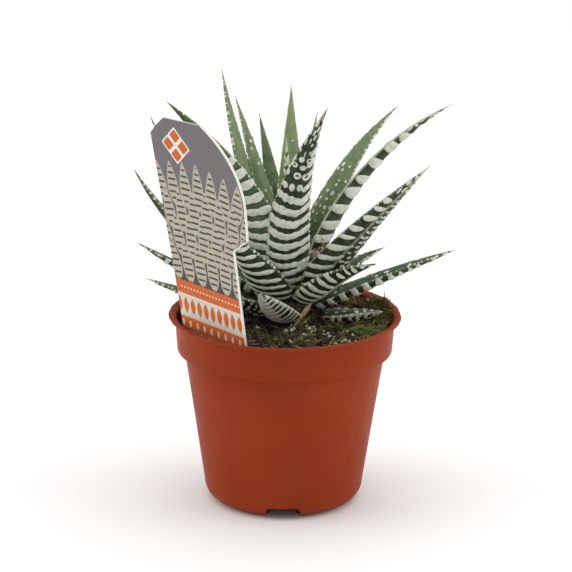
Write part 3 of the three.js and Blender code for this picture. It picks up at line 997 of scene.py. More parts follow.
@dataclass(frozen=True)
class LeafCuticle:
    """Waxy leaf skin: green flesh under a smooth cuticle, with chalky white tubercles.

    The tubercles are matter than the skin between them, which gives the bands their relief.
    The green is darkened close to them as painted shade in the creases, the white is greyed
    towards each tubercle's edge as painted shade besides varying at random, and the foot of
    the leaf is darkened as painted shade near the soil.
    """

    # Painted shade colour for the creases beside the raised tubercles.
    rim: str = "10180D"
    dark: str = "1A2614"
    light: str = "6B8454"
    upper_dark: str = "223A20"
    upper_light: str = "8B9D6E"
    white: str = "DBDCD2"
    # Dull white: random tone on the tubercles, and painted shade towards their edges.
    white_dull_and_edge_shade: str = "A8B09B"
    line: str = "BCBFA9"
    bare: str = "BBB6A2"
    dry: str = "7E5A40"
    # Painted shade laid over the foot of each leaf near the soil.
    painted_foot_shade: str = "241E14"

    def build(self) -> bpy.types.Material:
        """Make the material.

        Returns:
            The material.
        """
        s = Surface("haworthia_leaf_cuticle")
        blotch = s.grain(3.0)
        fine = s.grain(0.6, 2.0)
        field_value = s.math("ADD", s.attribute("pale"), s.math("MULTIPLY_ADD", fine, 0.14, -0.07))
        pale = s.span(field_value, 0.47, 0.53)
        green = s.math("ADD", s.attribute("green"), s.span(blotch, 0.3, 0.7, -0.2, 0.2))
        upper_green = s.math("ADD", s.attribute("upper_green"), s.span(blotch, 0.3, 0.7, -0.18, 0.18))
        outer_skin = s.mix(green, self.dark, self.light)
        # Painted shade: the green darkens in the creases close to the raised tubercles.
        outer_skin = s.mix(s.span(field_value, 0.1, 0.44, 0, 0.8), outer_skin, self.rim)
        outer_skin = s.mix(s.attribute("bare"), outer_skin, self.bare)
        upper_skin = s.mix(upper_green, self.upper_dark, self.upper_light)
        skin = s.mix(s.attribute("upper"), outer_skin, upper_skin)
        chalk = s.mix(s.span(s.grain(1.6, 4.0), 0.4, 0.8), self.white, self.white_dull_and_edge_shade)
        # Painted shade: the white greys towards each tubercle's edge.
        chalk = s.mix(s.span(field_value, 0.5, 0.62, 0.75, 0), chalk, self.white_dull_and_edge_shade)
        marked = s.mix(pale, skin, chalk)
        marked = s.mix(s.attribute("line"), marked, self.line)
        run = s.attribute("run")
        near_tip = s.span(s.math("MULTIPLY_ADD", blotch, 0.05, run), 0.95, 1.0)
        colour = s.mix(s.math("MULTIPLY", near_tip, s.attribute("dry")), marked, self.dry)
        # Painted shade: the foot of each leaf is darkened near the soil, by its share of the length and
        # blotch noise.
        foot = s.span(s.math("MULTIPLY_ADD", blotch, 0.06, run), 0.17, 0.03, 0, 0.65)
        colour = s.mix(foot, colour, self.painted_foot_shade)
        roughness = s.span(pale, 0, 1, 0.42, 0.6)
        normal = s.bump(s.grain(0.18, 2.0), 0.03, 0.4)
        return s.finish(colour, roughness, normal, Specular_IOR_Level=0.3)


def leaf_forms() -> list[LeafForm]:
    """The rosette's leaves, from its heart outwards.

    Returns:
        One form for each leaf, in the order of their nodes.
    """
    m = Marking
    return [
        LeafForm(200, 85.0, 1.2, (9, 11), 38, 4.4, 2.2, roll=60, marking=m.BARE, green=0.35,
                 upper_green=0.35, margin_line=0.1, teeth=0.1),
        LeafForm(235, 84.0, 2.0, (2, 2), 51, 6, 3, roll=60, green=0.35, upper_green=0.5, margin_line=0.2),
        LeafForm(45, 83.0, 2.4, (2, 18), 60, 7.5, 3.4, marking=m.BARE, green=0.6, upper_green=0.6,
                 margin_line=0.1, teeth=0.16),
        LeafForm(95, 82.4, 2.8, (6, 1), 70, 12.5, 4, roll=10, upper_green=0.9, upper_dots=0.1,
                 upper_until=0.85, teeth=0.24),
        LeafForm(113, 81.6, 3.2, (23, 32), 62, 9.5, 3.8, roll=-10, upper_green=0.42, teeth=0.2,
                 margin_line=0.1),
        LeafForm(130, 80.6, 3.6, (20, 30), 70, 10, 4.2, upper_green=0.6, upper_dots=0.25, teeth=0.34,
                 margin_line=0.4),
        LeafForm(-112, 79.4, 5.0, (8, 22), 76, 17, 6.2, roll=14, sway=23, keel=0.5, marking=m.BOLD,
                 beyond=m.EDGE, divide=0.55, green=0.08, dry_tip=1),
        LeafForm(146, 79.2, 4.2, (26, 13), 81, 11, 4.6, marking=m.WIDE, until=0.3, green=0.36,
                 upper_green=0.7, upper_dots=0.08, upper_until=0.5, teeth=0.36, margin_line=0.1),
        LeafForm(42, 78.6, 4.4, (16, 62), 79, 12.5, 5, roll=10, marking=m.DOTS, upper_green=0.5,
                 upper_dots=0.85, upper_until=0.6, teeth=0.4),
        LeafForm(206, 78.0, 4.8, (13, 49), 88, 17, 6, roll=48, marking=m.WIDE, until=0.68, sweep=0.12,
                 slant=-0.4, green=0.35),
        LeafForm(15, 77.2, 5.0, (11.5, 68), 90, 12.5, 4.6, roll=-40, marking=m.OVAL, beyond=m.SPARSE,
                 divide=0.35, slant=0.45, sweep=0.1, green=0.16, upper_green=0.6, teeth=0.12,
                 margin_line=1.0),
        LeafForm(-33, 76.4, 5.2, (39, 47), 77, 11.6, 5.2, roll=-55, keel=-0.1, marking=m.LADDER,
                 beyond=m.RINGS, slant=1.35, sweep=0.1, green=0.04, keel_line=0.75),
        LeafForm(160, 75.8, 5.4, (52, 26), 80, 12, 5, marking=m.WIDE, until=0.6, upper_green=0.5),
        LeafForm(74, 75.2, 5.6, (36, 64), 44, 12, 4.8, marking=m.BOLD),
        LeafForm(-135, 74.6, 5.8, (36, 50), 46, 14.5, 5.2, roll=30, marking=m.COARSE, sweep=-0.1,
                 slant=-0.6, green=0.02, teeth=0.4),
        LeafForm(181, 74.0, 6.0, (60, 33), 71, 12, 5, roll=10, marking=m.WIDE, until=0.62, upper_green=0.4),
        LeafForm(16, 73.4, 6.2, (46, 73), 35, 10, 3.8, roll=12, marking=m.DOTS, upper_green=0.15,
                 upper_dots=0.5, teeth=0.4),
        LeafForm(115, 72.8, 6.4, (40, 68), 50, 12, 4.8, marking=m.BOLD),
        LeafForm(-46, 74.2, 6.2, (44, 74), 44, 12.5, 5, roll=-20, keel=0.3, marking=m.SLATS,
                 beyond=m.SPARSE, divide=0.14, slant=0.55, green=0.02, teeth=0.45, bare=(0.14, 1.1)),
        LeafForm(-6, 71.8, 6.6, (62, 71), 58, 11.5, 4.8, marking=m.BLOTS, beyond=m.SPARSE, divide=-0.04,
                 slant=0.3, upper_green=0.12, green=0.04, teeth=0.26, margin_line=0.2, upper_dots=0.4),
        LeafForm(50, 71.4, 6.8, (66, 84), 38, 11.5, 4.6, marking=m.DOTS),
        LeafForm(190, 71.0, 6.8, (64, 60), 56, 11, 4.6, marking=m.BLOTS, upper_green=0.2, dry_tip=1,
                 teeth=0.34, green=0.05, margin_line=0.15),
        LeafForm(145, 70.6, 7.0, (60, 76), 46, 11, 4.6, marking=m.BOLD),
        LeafForm(-142, 70.4, 7.0, (62, 74), 34, 11.5, 4.6, roll=10, marking=m.RINGS, green=0.02),
        LeafForm(172, 69.8, 7.2, (84, 74), 48, 9.5, 4.2, marking=m.BLOTS, upper_green=0.2, teeth=0.34,
                 green=0.05, margin_line=0.15, upper_dots=0.3),
        LeafForm(-107.5, 70.6, 7.2, (56, 67), 31, 16.5, 7, roll=-14, keel=-0.15, marking=m.FINE, sweep=0.5,
                 green=0.1, teeth=0.45, bare=(-1.1, 0.42)),
        LeafForm(-8, 68.7, 11.5, (84, 86), 23, 9.6, 5.3, marking=m.LOBES, beyond=m.SPARSE, divide=-0.3,
                 sweep=0.0, green=0.02, upper_green=0.08, teeth=0.42, upper_dots=0.9, margin_line=0.9,
                 keel_line=0.5),
        LeafForm(94, 69.6, 7.4, (74, 84), 40, 11, 4.4, marking=m.DOTS),
    ]


@dataclass(frozen=True)
class Rosette:
    """All leaves of the plant and the stem that they grow from."""

    CROWN = (2.0, 5.0)
    forms: tuple[LeafForm, ...]

    def build(self) -> None:
        """Build each leaf in place of its node and dress the stem."""
        cuticle = LeafCuticle().build()
        for number, form in enumerate(self.forms, start=1):
            leaf = LeafSurface(form, number).build()
            hand_over(leaf, f"haworthia_leaf_{number:02d}", cuticle, "leaf", f"leaf_{number:02d}")
        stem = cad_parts["stem"]
        stem.data.materials.clear()
        stem.data.materials.append(StemBark().build())


@dataclass(frozen=True)
class StemBark:
    """Short succulent stem: dull, fibrous and pale, stained by the soil round it."""

    pale: str = "8C8060"
    stained: str = "2E261B"

    def build(self) -> bpy.types.Material:
        """Make the material.

        Returns:
            The material.
        """
        s = Surface("fibrous_stem")
        colour = s.mix(s.span(s.grain(1.8), 0.4, 0.62), self.stained, self.pale)
        return s.finish(colour, 0.8, s.bump(s.grain(0.5), 0.2, 0.6))


# Pot.


@dataclass(frozen=True)
class PotPlastic:
    """Terracotta-coloured polypropylene, injection moulded.

    The mould leaves an even satin skin, and handling adds a few pale scuffs. The inside of the
    wall is darkened as painted shade, where little light reaches.
    """

    body: str = "93391B"
    deep: str = "8C3416"
    scuff: str = "B77558"
    # Colour of the painted shade inside the wall.
    painted_inner_shade: str = "36170B"

    def build(self) -> bpy.types.Material:
        """Make the material.

        Returns:
            The material.
        """
        s = Surface("moulded_polypropylene_terracotta")
        colour = s.mix(s.span(s.grain(30.0, 2.0), 0.35, 0.65), self.body, self.deep)
        specks = s.span(s.grain(0.9, 5.0, 0.7), 0.68, 0.74)
        zones = s.span(s.grain(14.0, 2.0), 0.5, 0.66)
        scuffed = s.math("MULTIPLY", s.math("MULTIPLY", specks, zones), 0.5)
        colour = s.mix(scuffed, colour, self.scuff)
        # Painted shade on the inside of the wall, where little light reaches.
        colour = s.mix(s.attribute("painted_inner_shade"), colour, self.painted_inner_shade)
        roughness = s.span(s.grain(6.0, 4.0), 0.3, 0.7, 0.38, 0.5)
        normal = s.bump(s.grain(5.0, 2.0), 0.05, 0.35, s.bump(s.grain(0.35, 2.0), 0.012, 0.4))
        return s.finish(colour, roughness, normal, Specular_IOR_Level=0.06)


@dataclass(frozen=True)
class NurseryPot:
    """Thin-walled pot, turned from its wall's outline, with notches and drain holes cut in.

    The lip is drawn in a little and not quite even, as on a thin moulding: each of its waves has
    a height, a number round the pot and a start. The wall's inside is darkened as painted shade
    within radii given at a row of heights, by a set share.
    """

    height: float = 70.0
    lip_radius: float = 42.5
    lip_thickness: float = 1.0
    lip_root: float = 41.3
    lip_inner: float = 41.2
    lip_bend: tuple[float, float] = (39.8, 0.8)
    band_top: float = 40.0
    band_top_height: float = 67.9
    band_foot: float = 39.2
    band_foot_height: float = 56.4
    body_top: float = 36.5
    body_foot: float = 29.1
    corner: float = 6.5
    inner_corner: float = 2.6
    wall: float = 0.95
    floor_top: float = 5.7
    channel_top: float = 4.7
    channel_outer: float = 21.2
    pad_radius: float = 9.0
    pad_thickness: float = 1.2
    steps: int = 180
    notches: int = 3
    notch_reach: tuple[float, float] = (20.5, 33.0)
    drain_holes: int = 6
    drain_circle: float = 15.6
    drain_radius: float = 2.5
    drain_middle: float = 3.0
    drain_depth: float = 8.0
    lip_drawn_in: float = 0.27
    lip_waves: tuple[tuple[float, int, float], ...] = ((0.12, 9, 0.7), (0.09, 23, 0), (0.06, 41, 2))
    lip_dip: float = 0.25
    # Heights and radii inside which the wall is darkened as painted shade, and how strongly.
    inner_shade_heights: tuple[float, ...] = (4.0, 56.0, 57.0, 69.5)
    inner_shade_radii: tuple[float, ...] = (28.6, 36.0, 38.7, 39.6)
    inner_shade_share: float = 0.75

    def inner_radius(self, height: float) -> float:
        """Radius of the body's inner wall at a height under the band."""
        share = (height - self.corner) / (self.band_foot_height - self.corner)
        return self.body_foot + (self.body_top - self.body_foot) * share - self.wall

    def outline(self) -> list[tuple[float, float]]:
        """Draw half of the wall's section, out along the underside, up the outside and down the inside.

        Returns:
            Radius and height of each point.
        """
        corner_centre = self.body_foot - self.corner
        inner_top = self.floor_top + self.inner_corner
        inner_centre = self.inner_radius(inner_top) - self.inner_corner
        ledge = self.band_foot_height - self.wall
        round_over = 0.35

        def arc(
            radius: float, height: float, size: float, start: float, end: float, steps: int
        ) -> list[tuple[float, float]]:
            """Points on an arc of a size round a centre, from one angle in degrees to another."""
            angles = [math.radians(start + (end - start) * i / steps) for i in range(steps + 1)]
            return [(radius + size * math.cos(a), height + size * math.sin(a)) for a in angles]

        lip_low = self.height - self.lip_thickness
        return [
            (0.0, 0.0),
            *arc(self.pad_radius - 0.3, 0.3, 0.3, -90, 0, 3),
            *arc(self.pad_radius + 0.9, self.channel_top - 0.4, 0.4, 180, 90, 3),
            *arc(self.channel_outer - 0.9, self.channel_top - 0.4, 0.4, 90, 0, 3),
            *arc(self.channel_outer + 0.2, 0.3, 0.3, 180, 270, 3),
            *arc(corner_centre, self.corner, self.corner, -90, 0, 12),
            ((self.body_foot + self.body_top) / 2, (self.corner + self.band_foot_height) / 2),
            (self.body_top, self.band_foot_height - 0.6),
            *arc(self.body_top + 0.5, self.band_foot_height - 0.5, 0.5, 180, 90, 4)[1:],
            *arc(self.band_foot - 0.7, self.band_foot_height + 0.7, 0.7, -90, -4, 5),
            ((self.band_foot + self.band_top) / 2, (self.band_foot_height + lip_low) / 2),
            (self.band_top - 0.06, self.band_top_height - 0.6),
            (self.band_top + 0.12, self.band_top_height + 0.1),
            (self.lip_root - 0.35, lip_low - 0.2),
            (self.lip_root + 0.1, lip_low),
            *arc(self.lip_radius - round_over, lip_low + round_over, round_over, -90, 0, 3),
            *arc(self.lip_radius - round_over, self.height - round_over, round_over, 0, 90, 4),
            (self.lip_inner + 0.35, self.height),
            (self.lip_inner - 0.15, self.height - 0.14),
            (self.lip_bend[0] + 0.2, self.height - self.lip_bend[1] + 0.15),
            (self.lip_bend[0] - 0.15, self.height - self.lip_bend[1] - 0.2),
            (self.band_top - self.wall, self.band_top_height),
            (self.band_foot - self.wall, self.band_foot_height + 0.1),
            (self.band_foot - self.wall - 0.1, self.band_foot_height),
            (self.inner_radius(ledge), ledge),
            *arc(inner_centre, inner_top, self.inner_corner, 0, -90, 4),
            (self.pad_radius, self.floor_top),
            (self.pad_radius - 1.2, self.pad_thickness),
            (0.0, self.pad_thickness),
        ]

    def turned(self) -> bpy.types.Object:
        """Spin the wall's outline round the axis.

        Returns:
            The pot without its cuts.
        """
        start_alone()
        bpy.ops.mesh.primitive_plane_add(size=MM)
        pot = bpy.context.object
        bpy.ops.object.mode_set(mode="EDIT")
        bpy.ops.mesh.select_all(action="SELECT")
        bpy.ops.mesh.merge(type="CENTER")
        points = [Vector((radius, 0.0, height)) * MM for radius, height in self.outline()]
        bpy.ops.transform.translate(value=points[0])
        for here, there in zip(points, points[1:]):
            bpy.ops.mesh.extrude_vertices_move(TRANSFORM_OT_translate={"value": there - here})
        bpy.ops.mesh.select_all(action="SELECT")
        bpy.ops.mesh.spin(steps=self.steps, angle=math.tau, center=(0, 0, 0), axis=(0, 0, 1))
        bpy.ops.mesh.select_all(action="SELECT")
        bpy.ops.mesh.remove_doubles(threshold=0.02 * MM)
        bpy.ops.mesh.normals_make_consistent(inside=False)
        bpy.ops.object.mode_set(mode="OBJECT")
        return pot

    def notch_outline(self) -> list[tuple[float, float]]:
        """Draw a drainage notch as seen from outside, rounded at its roof and flared at its foot.

        Returns:
            Place across and height of each point.
        """
        roof = self.channel_top + 0.04
        right = [(9.0, -1.0), (7.9, 0.0), (7.45, 0.12), (7.1, 0.45), (6.9, 0.9), (6.0, roof - 1.1),
                 (5.8, roof - 0.55), (5.45, roof - 0.15), (4.9, roof)]
        return right + [(-across, height) for across, height in reversed(right)]

    def notch_cutter(self, number: int) -> bpy.types.Object:
        """Bar that cuts one drainage notch through the foot ring.

        Args:
            number: which notch, counted from the front.

        Returns:
            The bar.
        """
        start_alone()
        near, far = self.notch_reach
        outline = np.array(self.notch_outline())
        bpy.ops.mesh.primitive_cylinder_add(vertices=len(outline), radius=1, depth=2)
        cutter = bpy.context.object
        points = read_points(cutter.data)
        turn = np.arctan2(points[:, 1], points[:, 0]) % math.tau
        corner = np.round(turn / math.tau * len(outline)).astype(int) % len(outline)
        inwards = np.where(points[:, 2] > 0, -near, -far)
        placed = np.stack([outline[corner, 0], inwards, outline[corner, 1]], axis=1)
        turned = Matrix.Rotation(math.tau / self.notches * number, 3, "Z")
        write_points(cutter.data, placed @ np.array(turned).T)
        turn_outwards(cutter)
        return cutter

    def drain_cutter(self, number: int) -> bpy.types.Object:
        """Round bar that cuts one drain hole through the floor.

        Args:
            number: which hole.

        Returns:
            The bar.
        """
        start_alone()
        angle = math.tau / self.drain_holes * (number + 0.5)
        x, y = self.drain_circle * math.cos(angle), self.drain_circle * math.sin(angle)
        bpy.ops.mesh.primitive_cylinder_add(
            vertices=32,
            radius=self.drain_radius * MM,
            depth=self.drain_depth * MM,
            location=Vector((x, y, self.drain_middle)) * MM,
        )
        bpy.ops.object.transform_apply(location=True, rotation=True, scale=True)
        return bpy.context.object

    def build(self) -> None:
        """Turn the pot, cut it, make its lip a little uneven and dress it."""
        pot = self.turned()
        cutters = [self.notch_cutter(i) for i in range(self.notches)]
        cutters += [self.drain_cutter(i) for i in range(self.drain_holes)]
        for cutter in cutters:
            apply_modifier(pot, "BOOLEAN", operation="DIFFERENCE", solver="EXACT", object=cutter)
            bpy.data.objects.remove(cutter)
        points = read_points(pot.data) / MM
        turn = np.arctan2(points[:, 1], points[:, 0])
        near_lip = smoothstep(self.height - 4, self.height - 0.5, points[:, 2])
        outside = np.hypot(points[:, 0], points[:, 1]) > self.band_top - 0.5
        uneven = sum(high * np.sin(count * turn + start) for high, count, start in self.lip_waves)
        drawn_in = near_lip * (self.lip_drawn_in + uneven) / self.lip_radius
        points[:, :2] *= (1 - np.where(outside, drawn_in, 0))[:, None]
        points[:, 2] -= near_lip * self.lip_dip * (0.5 + 0.5 * np.sin(3 * turn + 1.1))
        write_points(pot.data, points)
        # Painted shade: the wall's inside is darkened where little light reaches.
        radius = np.hypot(points[:, 0], points[:, 1])
        inner = np.interp(points[:, 2], self.inner_shade_heights, self.inner_shade_radii)
        stained = (radius < inner) & (points[:, 2] > self.inner_shade_heights[0])
        store(pot.data, "painted_inner_shade", np.where(stained, self.inner_shade_share, 0.0))
        smooth(pot, 32)
        hand_over(pot, "nursery_pot", PotPlastic().build(), "pot", "pot")


# Plant label.


@dataclass(frozen=True)
class LabelPrint:
    """Glossy card with a generic print: a mauve-grey field, an orange band and a pale strip.

    The print is flat; only the thin lacquer over it gives the label its shine. Its fields are
    parted at heights in millimetres from the label's foot.
    """

    band_top: float = 17.0
    strip_top: float = 11.7
    strip_foot: float = 2.35
    band_foot: float = -3.1
    line: float = 0.1
    field_low: str = "4B4440"
    field_high: str = "6F696D"
    leaf_pale: str = "B4AC9C"
    leaf_dark: str = "43453A"
    orange: str = "C85F22"
    orange_deep: str = "DE6C34"
    strip: str = "D2CFC3"
    strip_lines: str = "A5A298"
    foot_strip: str = "B7B0B8"
    border: str = "E4E2DC"
    back: str = "E2E0DA"

    def build(self) -> bpy.types.Material:
        """Make the material.

        Returns:
            The material.
        """
        s = Surface("printed_label_card")
        height = s.attribute("label_height")
        across = s.attribute("label_across")
        sheen = s.span(height, self.band_top, 62)
        weave = s.math("MINIMUM", s.math("PINGPONG", across, 1.05), s.math("PINGPONG", height, 1.3))
        strip = s.mix(s.span(weave, 0.08, 0.2, 0.35, 0), self.strip, self.strip_lines)
        colour = s.mix(sheen, self.field_low, self.field_high)
        colour = s.mix(s.span(s.attribute("leaf_pattern"), -0.12, 0.12), colour, self.leaf_pale)
        colour = s.mix(s.span(s.attribute("leaf_stripes"), -0.12, 0.12), colour, self.leaf_dark)
        colour = s.mix(s.span(height, self.band_top, self.band_top + 0.15), self.orange, colour)
        colour = s.mix(s.span(height, self.strip_top, self.strip_top + self.line), strip, colour)
        colour = s.mix(s.span(height, self.strip_foot, self.strip_foot + self.line), self.orange_deep, colour)
        colour = s.mix(s.span(s.attribute("pale_marks"), -0.1, 0.1), colour, self.border)
        colour = s.mix(s.span(s.attribute("orange_marks"), -0.1, 0.1), colour, self.orange)
        colour = s.mix(s.span(height, self.band_foot, self.band_foot + self.line), self.foot_strip, colour)
        colour = s.mix(s.span(s.attribute("edge_distance"), 0.36, 0.46), self.border, colour)
        colour = s.mix(s.attribute("front"), self.back, colour)
        return s.finish(colour, 0.32, None, Specular_IOR_Level=0.2)


@dataclass(frozen=True)
class PlantLabel:
    """Pointed label pushed into the soil, in its own flat coordinates from its foot.

    Each side is given as the heights of its corners and their places across. The right side
    goes over into the top along a curve between two points, drawn towards a third.
    """

    foot: tuple[float, float, float] = (-24.9, -23.9, 70.0)
    yaw: float = -45.0
    lean_out: float = 11.0
    lean_side: float = -3.0
    thickness: float = 0.8
    columns: int = 72
    row: float = 0.5
    point: float = -48.0
    shoulder: float = -3.5
    top: float = 81.2
    left_heights: tuple[float, ...] = (-48, -20, -13, -3.5, 22, 72.5, 76.6, 79.8, 81.2)
    left_places: tuple[float, ...] = (-0.02, -8, -9, -16.2, -17.7, -21.5, -17.8, -14, 5)
    right_heights: tuple[float, ...] = (-48, -20, -13, -3.5, 36, 42, 54)
    right_places: tuple[float, ...] = (0.02, 8, 9, 16, 15, 22.5, 23)
    curve_heights: tuple[float, float, float] = (54, 71, 81.2)
    curve_places: tuple[float, float, float] = (23, 22.5, 5)
    row_corners: tuple[float, ...] = (-20, -13, 22, 36, 42, 54, 72.5, 76.6, 79.8, 81.15)
    blade_tiers: tuple[float, ...] = (47.0, 37.0, 27.0, 17.2)
    blade_spacing: float = 6.0
    tiles_place: tuple[float, float] = (-9.0, 70.5)
    tile_step: float = 3.6

    def right_edge(self, y: np.ndarray) -> np.ndarray:
        """Find the right edge.

        Args:
            y: heights on the label.

        Returns:
            The edge's place across at each.
        """
        share = np.linspace(0, 1, 60)
        pulls = ((1 - share) ** 2, 2 * share * (1 - share), share ** 2)
        curve_x, curve_y = (
            sum(pull * value for pull, value in zip(pulls, corners))
            for corners in (self.curve_places, self.curve_heights)
        )
        heights = np.append(self.right_heights, curve_y[1:])
        return np.interp(y, heights, np.append(self.right_places, curve_x[1:]))

    def left_edge(self, y: np.ndarray) -> np.ndarray:
        """Place across of the left edge at heights on the label."""
        return np.interp(y, self.left_heights, self.left_places)

    def rows(self) -> np.ndarray:
        """Place the mesh's rows, with one at every corner of the outline.

        Returns:
            Their heights, from the point up.
        """
        low = np.linspace(self.point, self.shoulder, 16)
        high = np.arange(self.shoulder, self.top - 0.1, self.row)
        return np.unique(np.round(np.concatenate([low, high, self.row_corners]), 3))

    def edge_distance(self, x: np.ndarray, y: np.ndarray) -> np.ndarray:
        """Distance to the outline's right side and top, which have a white border.

        Args:
            x, y: places on the label.

        Returns:
            One distance for each.
        """
        heights = np.linspace(self.point, self.top, 500)
        ring_x = self.right_edge(heights)
        return np.sqrt(((x[:, None] - ring_x) ** 2 + (y[:, None] - heights) ** 2).min(axis=1))

    @staticmethod
    def blade(
        x: np.ndarray, y: np.ndarray, foot: tuple[float, float], angle: float, length: float, width: float
    ) -> tuple[np.ndarray, np.ndarray]:
        """Draw a pointed blade.

        Args:
            x, y: places on the label.
            foot: where the blade starts.
            angle: its lean to the right in degrees.
            length, width: its size.

        Returns:
            How far inside the blade each place is, and how far along it.
        """
        turn = math.radians(angle)
        along = (x - foot[0]) * math.sin(turn) + (y - foot[1]) * math.cos(turn)
        across = (x - foot[0]) * math.cos(turn) - (y - foot[1]) * math.sin(turn)
        share = np.clip(along / length, 0, 1)
        half = width / 2 * np.sin(math.pi * share ** 0.7) ** 0.8
        inside = np.where((along > 0) & (along < length), half - np.abs(across), -1.0)
        return inside, along

    def blades(self, x: np.ndarray, y: np.ndarray) -> tuple[np.ndarray, np.ndarray]:
        """Draw tiers of pale blades with dark bars, each tier over the one above it.

        Args:
            x, y: places on the label.

        Returns:
            How far inside the blades, and inside their bars, each place is.
        """
        pale = np.full(len(x), -1.0)
        bars = np.full(len(x), -1.0)
        for tier, base in enumerate(self.blade_tiers):
            for k in range(-4, 5):
                foot = ((k + (0.5 if tier % 2 else 0.0)) * self.blade_spacing, base)
                inside, along = self.blade(x, y, foot, 3.0 * k, 19.0 - abs(k), 5.6)
                pale = np.where(inside > 0, inside, np.maximum(pale, inside))
                bar = np.minimum(0.42 - np.abs((along - 1.5) % 2.4 - 1.2), inside - 0.4)
                bars = np.where(inside > 0, bar, bars)
        return pale, bars

    def motifs(self, x: np.ndarray, y: np.ndarray) -> dict[str, np.ndarray]:
        """Draw the print: blades, four tiles, and rows of ovals, lozenges and dots.

        Args:
            x, y: places on the label.

        Returns:
            For each of the print's colours, how far inside its shapes each place is.
        """
        pale, bars = self.blades(x, y)
        orange = np.full(len(x), -1.0)
        marks = np.full(len(x), -1.0)
        for side, up in ((0, 1), (1, 0), (0, -1), (-1, 0)):
            from_side = np.abs(x - self.tiles_place[0] - side * self.tile_step)
            from_middle = from_side + np.abs(y - self.tiles_place[1] - up * self.tile_step)
            orange = np.maximum(orange, 2.7 - from_middle)
            marks = np.maximum(marks, 3.5 - from_middle)
        for k in range(-5, 6):
            orange = np.maximum(orange, 1.25 * (1 - ((y - 7.2) / 3.3) ** 2) - np.abs(x - 0.5 - 3.4 * k))
            marks = np.maximum(marks, 0.62 * (1 - ((y + 0.3) / 1.6) ** 2) - np.abs(x + 1.2 - 3.6 * k))
        for k in range(-9, 10):
            marks = np.maximum(marks, 0.5 - np.abs(x - 1.6 * k) - np.abs(y - 14.4))
        return {"leaf_pattern": pale, "leaf_stripes": bars, "orange_marks": orange, "pale_marks": marks}

    def build(self) -> None:
        """Fit a grid to the outline, print it, thicken it and stand it in the soil."""
        start_alone()
        rows = self.rows()
        last = len(rows) - 1
        bpy.ops.mesh.primitive_grid_add(x_subdivisions=self.columns, y_subdivisions=last, size=2)
        label = bpy.context.object
        points = read_points(label.data)
        row = np.clip(np.round((points[:, 1] + 1) / 2 * last).astype(int), 0, last)
        y = rows[row]
        share = (points[:, 0] + 1) / 2
        x = self.left_edge(y) * (1 - share) + self.right_edge(y) * share
        write_points(label.data, np.stack([x, y, np.zeros(len(x))], axis=1))
        for name, values in self.motifs(x, y).items():
            store(label.data, name, np.clip(values, -1, 1))
        store(label.data, "label_height", y)
        store(label.data, "label_across", x + 40)
        store(label.data, "edge_distance", self.edge_distance(x, y))
        apply_modifier(label, "SOLIDIFY", thickness=self.thickness * MM, offset=0)
        flat = read_points(label.data)
        store(label.data, "front", (flat[:, 2] > 0).astype(float))
        stand = (
            Matrix.Translation(Vector(self.foot) * MM)
            @ Matrix.Rotation(math.radians(self.yaw), 4, "Z")
            @ Matrix.Rotation(math.radians(self.lean_out), 4, "X")
            @ Matrix.Rotation(math.radians(-self.lean_side), 4, "Y")
            @ Matrix.Rotation(math.radians(90), 4, "X")
        )
        label.data.transform(stand)
        turn_outwards(label)
        hand_over(label, "plant_label", LabelPrint().build(), "label", "label")


# Soil and what lies on it.


@dataclass(frozen=True)
class Ground:
    """Height of the peat's surface, the same formula as the solid's."""

    level: float = 66.3
    mound: float = 5.4
    mound_radius: float = 10.0
    roughness: float = 0.45
    moss_place: tuple[float, float] = (32.5, 10.5)
    moss_height: float = 5.4
    moss_radius: float = 6.8
    rim_radius: float = 38.3

    def height(self, x: np.ndarray, y: np.ndarray) -> np.ndarray:
        """Find the surface.

        Args:
            x, y: places in millimetres.

        Returns:
            The peat's height at each.
        """
        from_crown = np.hypot(x - Rosette.CROWN[0], y - Rosette.CROWN[1])
        from_moss = np.hypot(x - self.moss_place[0], y - self.moss_place[1])
        waves = np.sin(0.55 * x + 1.3) * np.cos(0.48 * y) + 0.6 * np.sin(1.1 * x - 0.9 * y + 2)
        return (
            self.level
            + self.mound * np.exp(-((from_crown / self.mound_radius) ** 2))
            + self.moss_height * np.exp(-((from_moss / self.moss_radius) ** 2))
            + self.roughness * waves
        )

    def scatter(
        self, rng: np.random.Generator, count: int, low: float, high: float
    ) -> tuple[np.ndarray, np.ndarray]:
        """Random places between two radii of the pot, evenly spread over the area.

        Args:
            rng: source of the random draws.
            count: how many.
            low, high: the radii.

        Returns:
            Their x and y.
        """
        radius = np.sqrt(rng.uniform(low * low, high * high, count))
        turn = rng.uniform(0, math.tau, count)
        return radius * np.cos(turn), radius * np.sin(turn)


@dataclass(frozen=True)
class Peat:
    """Moist peat: dark, matt and crumbly, with paler dry grains."""

    wet: str = "120D09"
    dry: str = "3A2B1A"
    name: str = "moist_peat"

    def build(self) -> bpy.types.Material:
        """Make the material.

        Returns:
            The material.
        """
        s = Surface(self.name)
        lot = s.math("ADD", s.span(s.grain(1.2, 4.0), 0.35, 0.72, 0, 0.7), s.attribute("tint"))
        colour = s.mix(s.math("MULTIPLY", lot, 0.6), self.wet, self.dry)
        normal = s.bump(s.grain(0.35, 4.0, 0.7), 0.25, 0.8)
        return s.finish(colour, 0.92, normal)


@dataclass(frozen=True)
class TintedScrap:
    """Small matter whose pieces differ in colour between two ends of a range."""

    name: str
    first: str
    second: str
    roughness: float = 0.8
    grain_mm: float = 0.5

    def build(self) -> bpy.types.Material:
        """Make the material.

        Returns:
            The material.
        """
        s = Surface(self.name)
        share = s.math("ADD", s.attribute("tint"), s.span(s.grain(self.grain_mm), 0.3, 0.7, -0.2, 0.2))
        colour = s.mix(share, self.first, self.second)
        return s.finish(colour, self.roughness, s.bump(s.grain(self.grain_mm / 2), 0.08, 0.6))


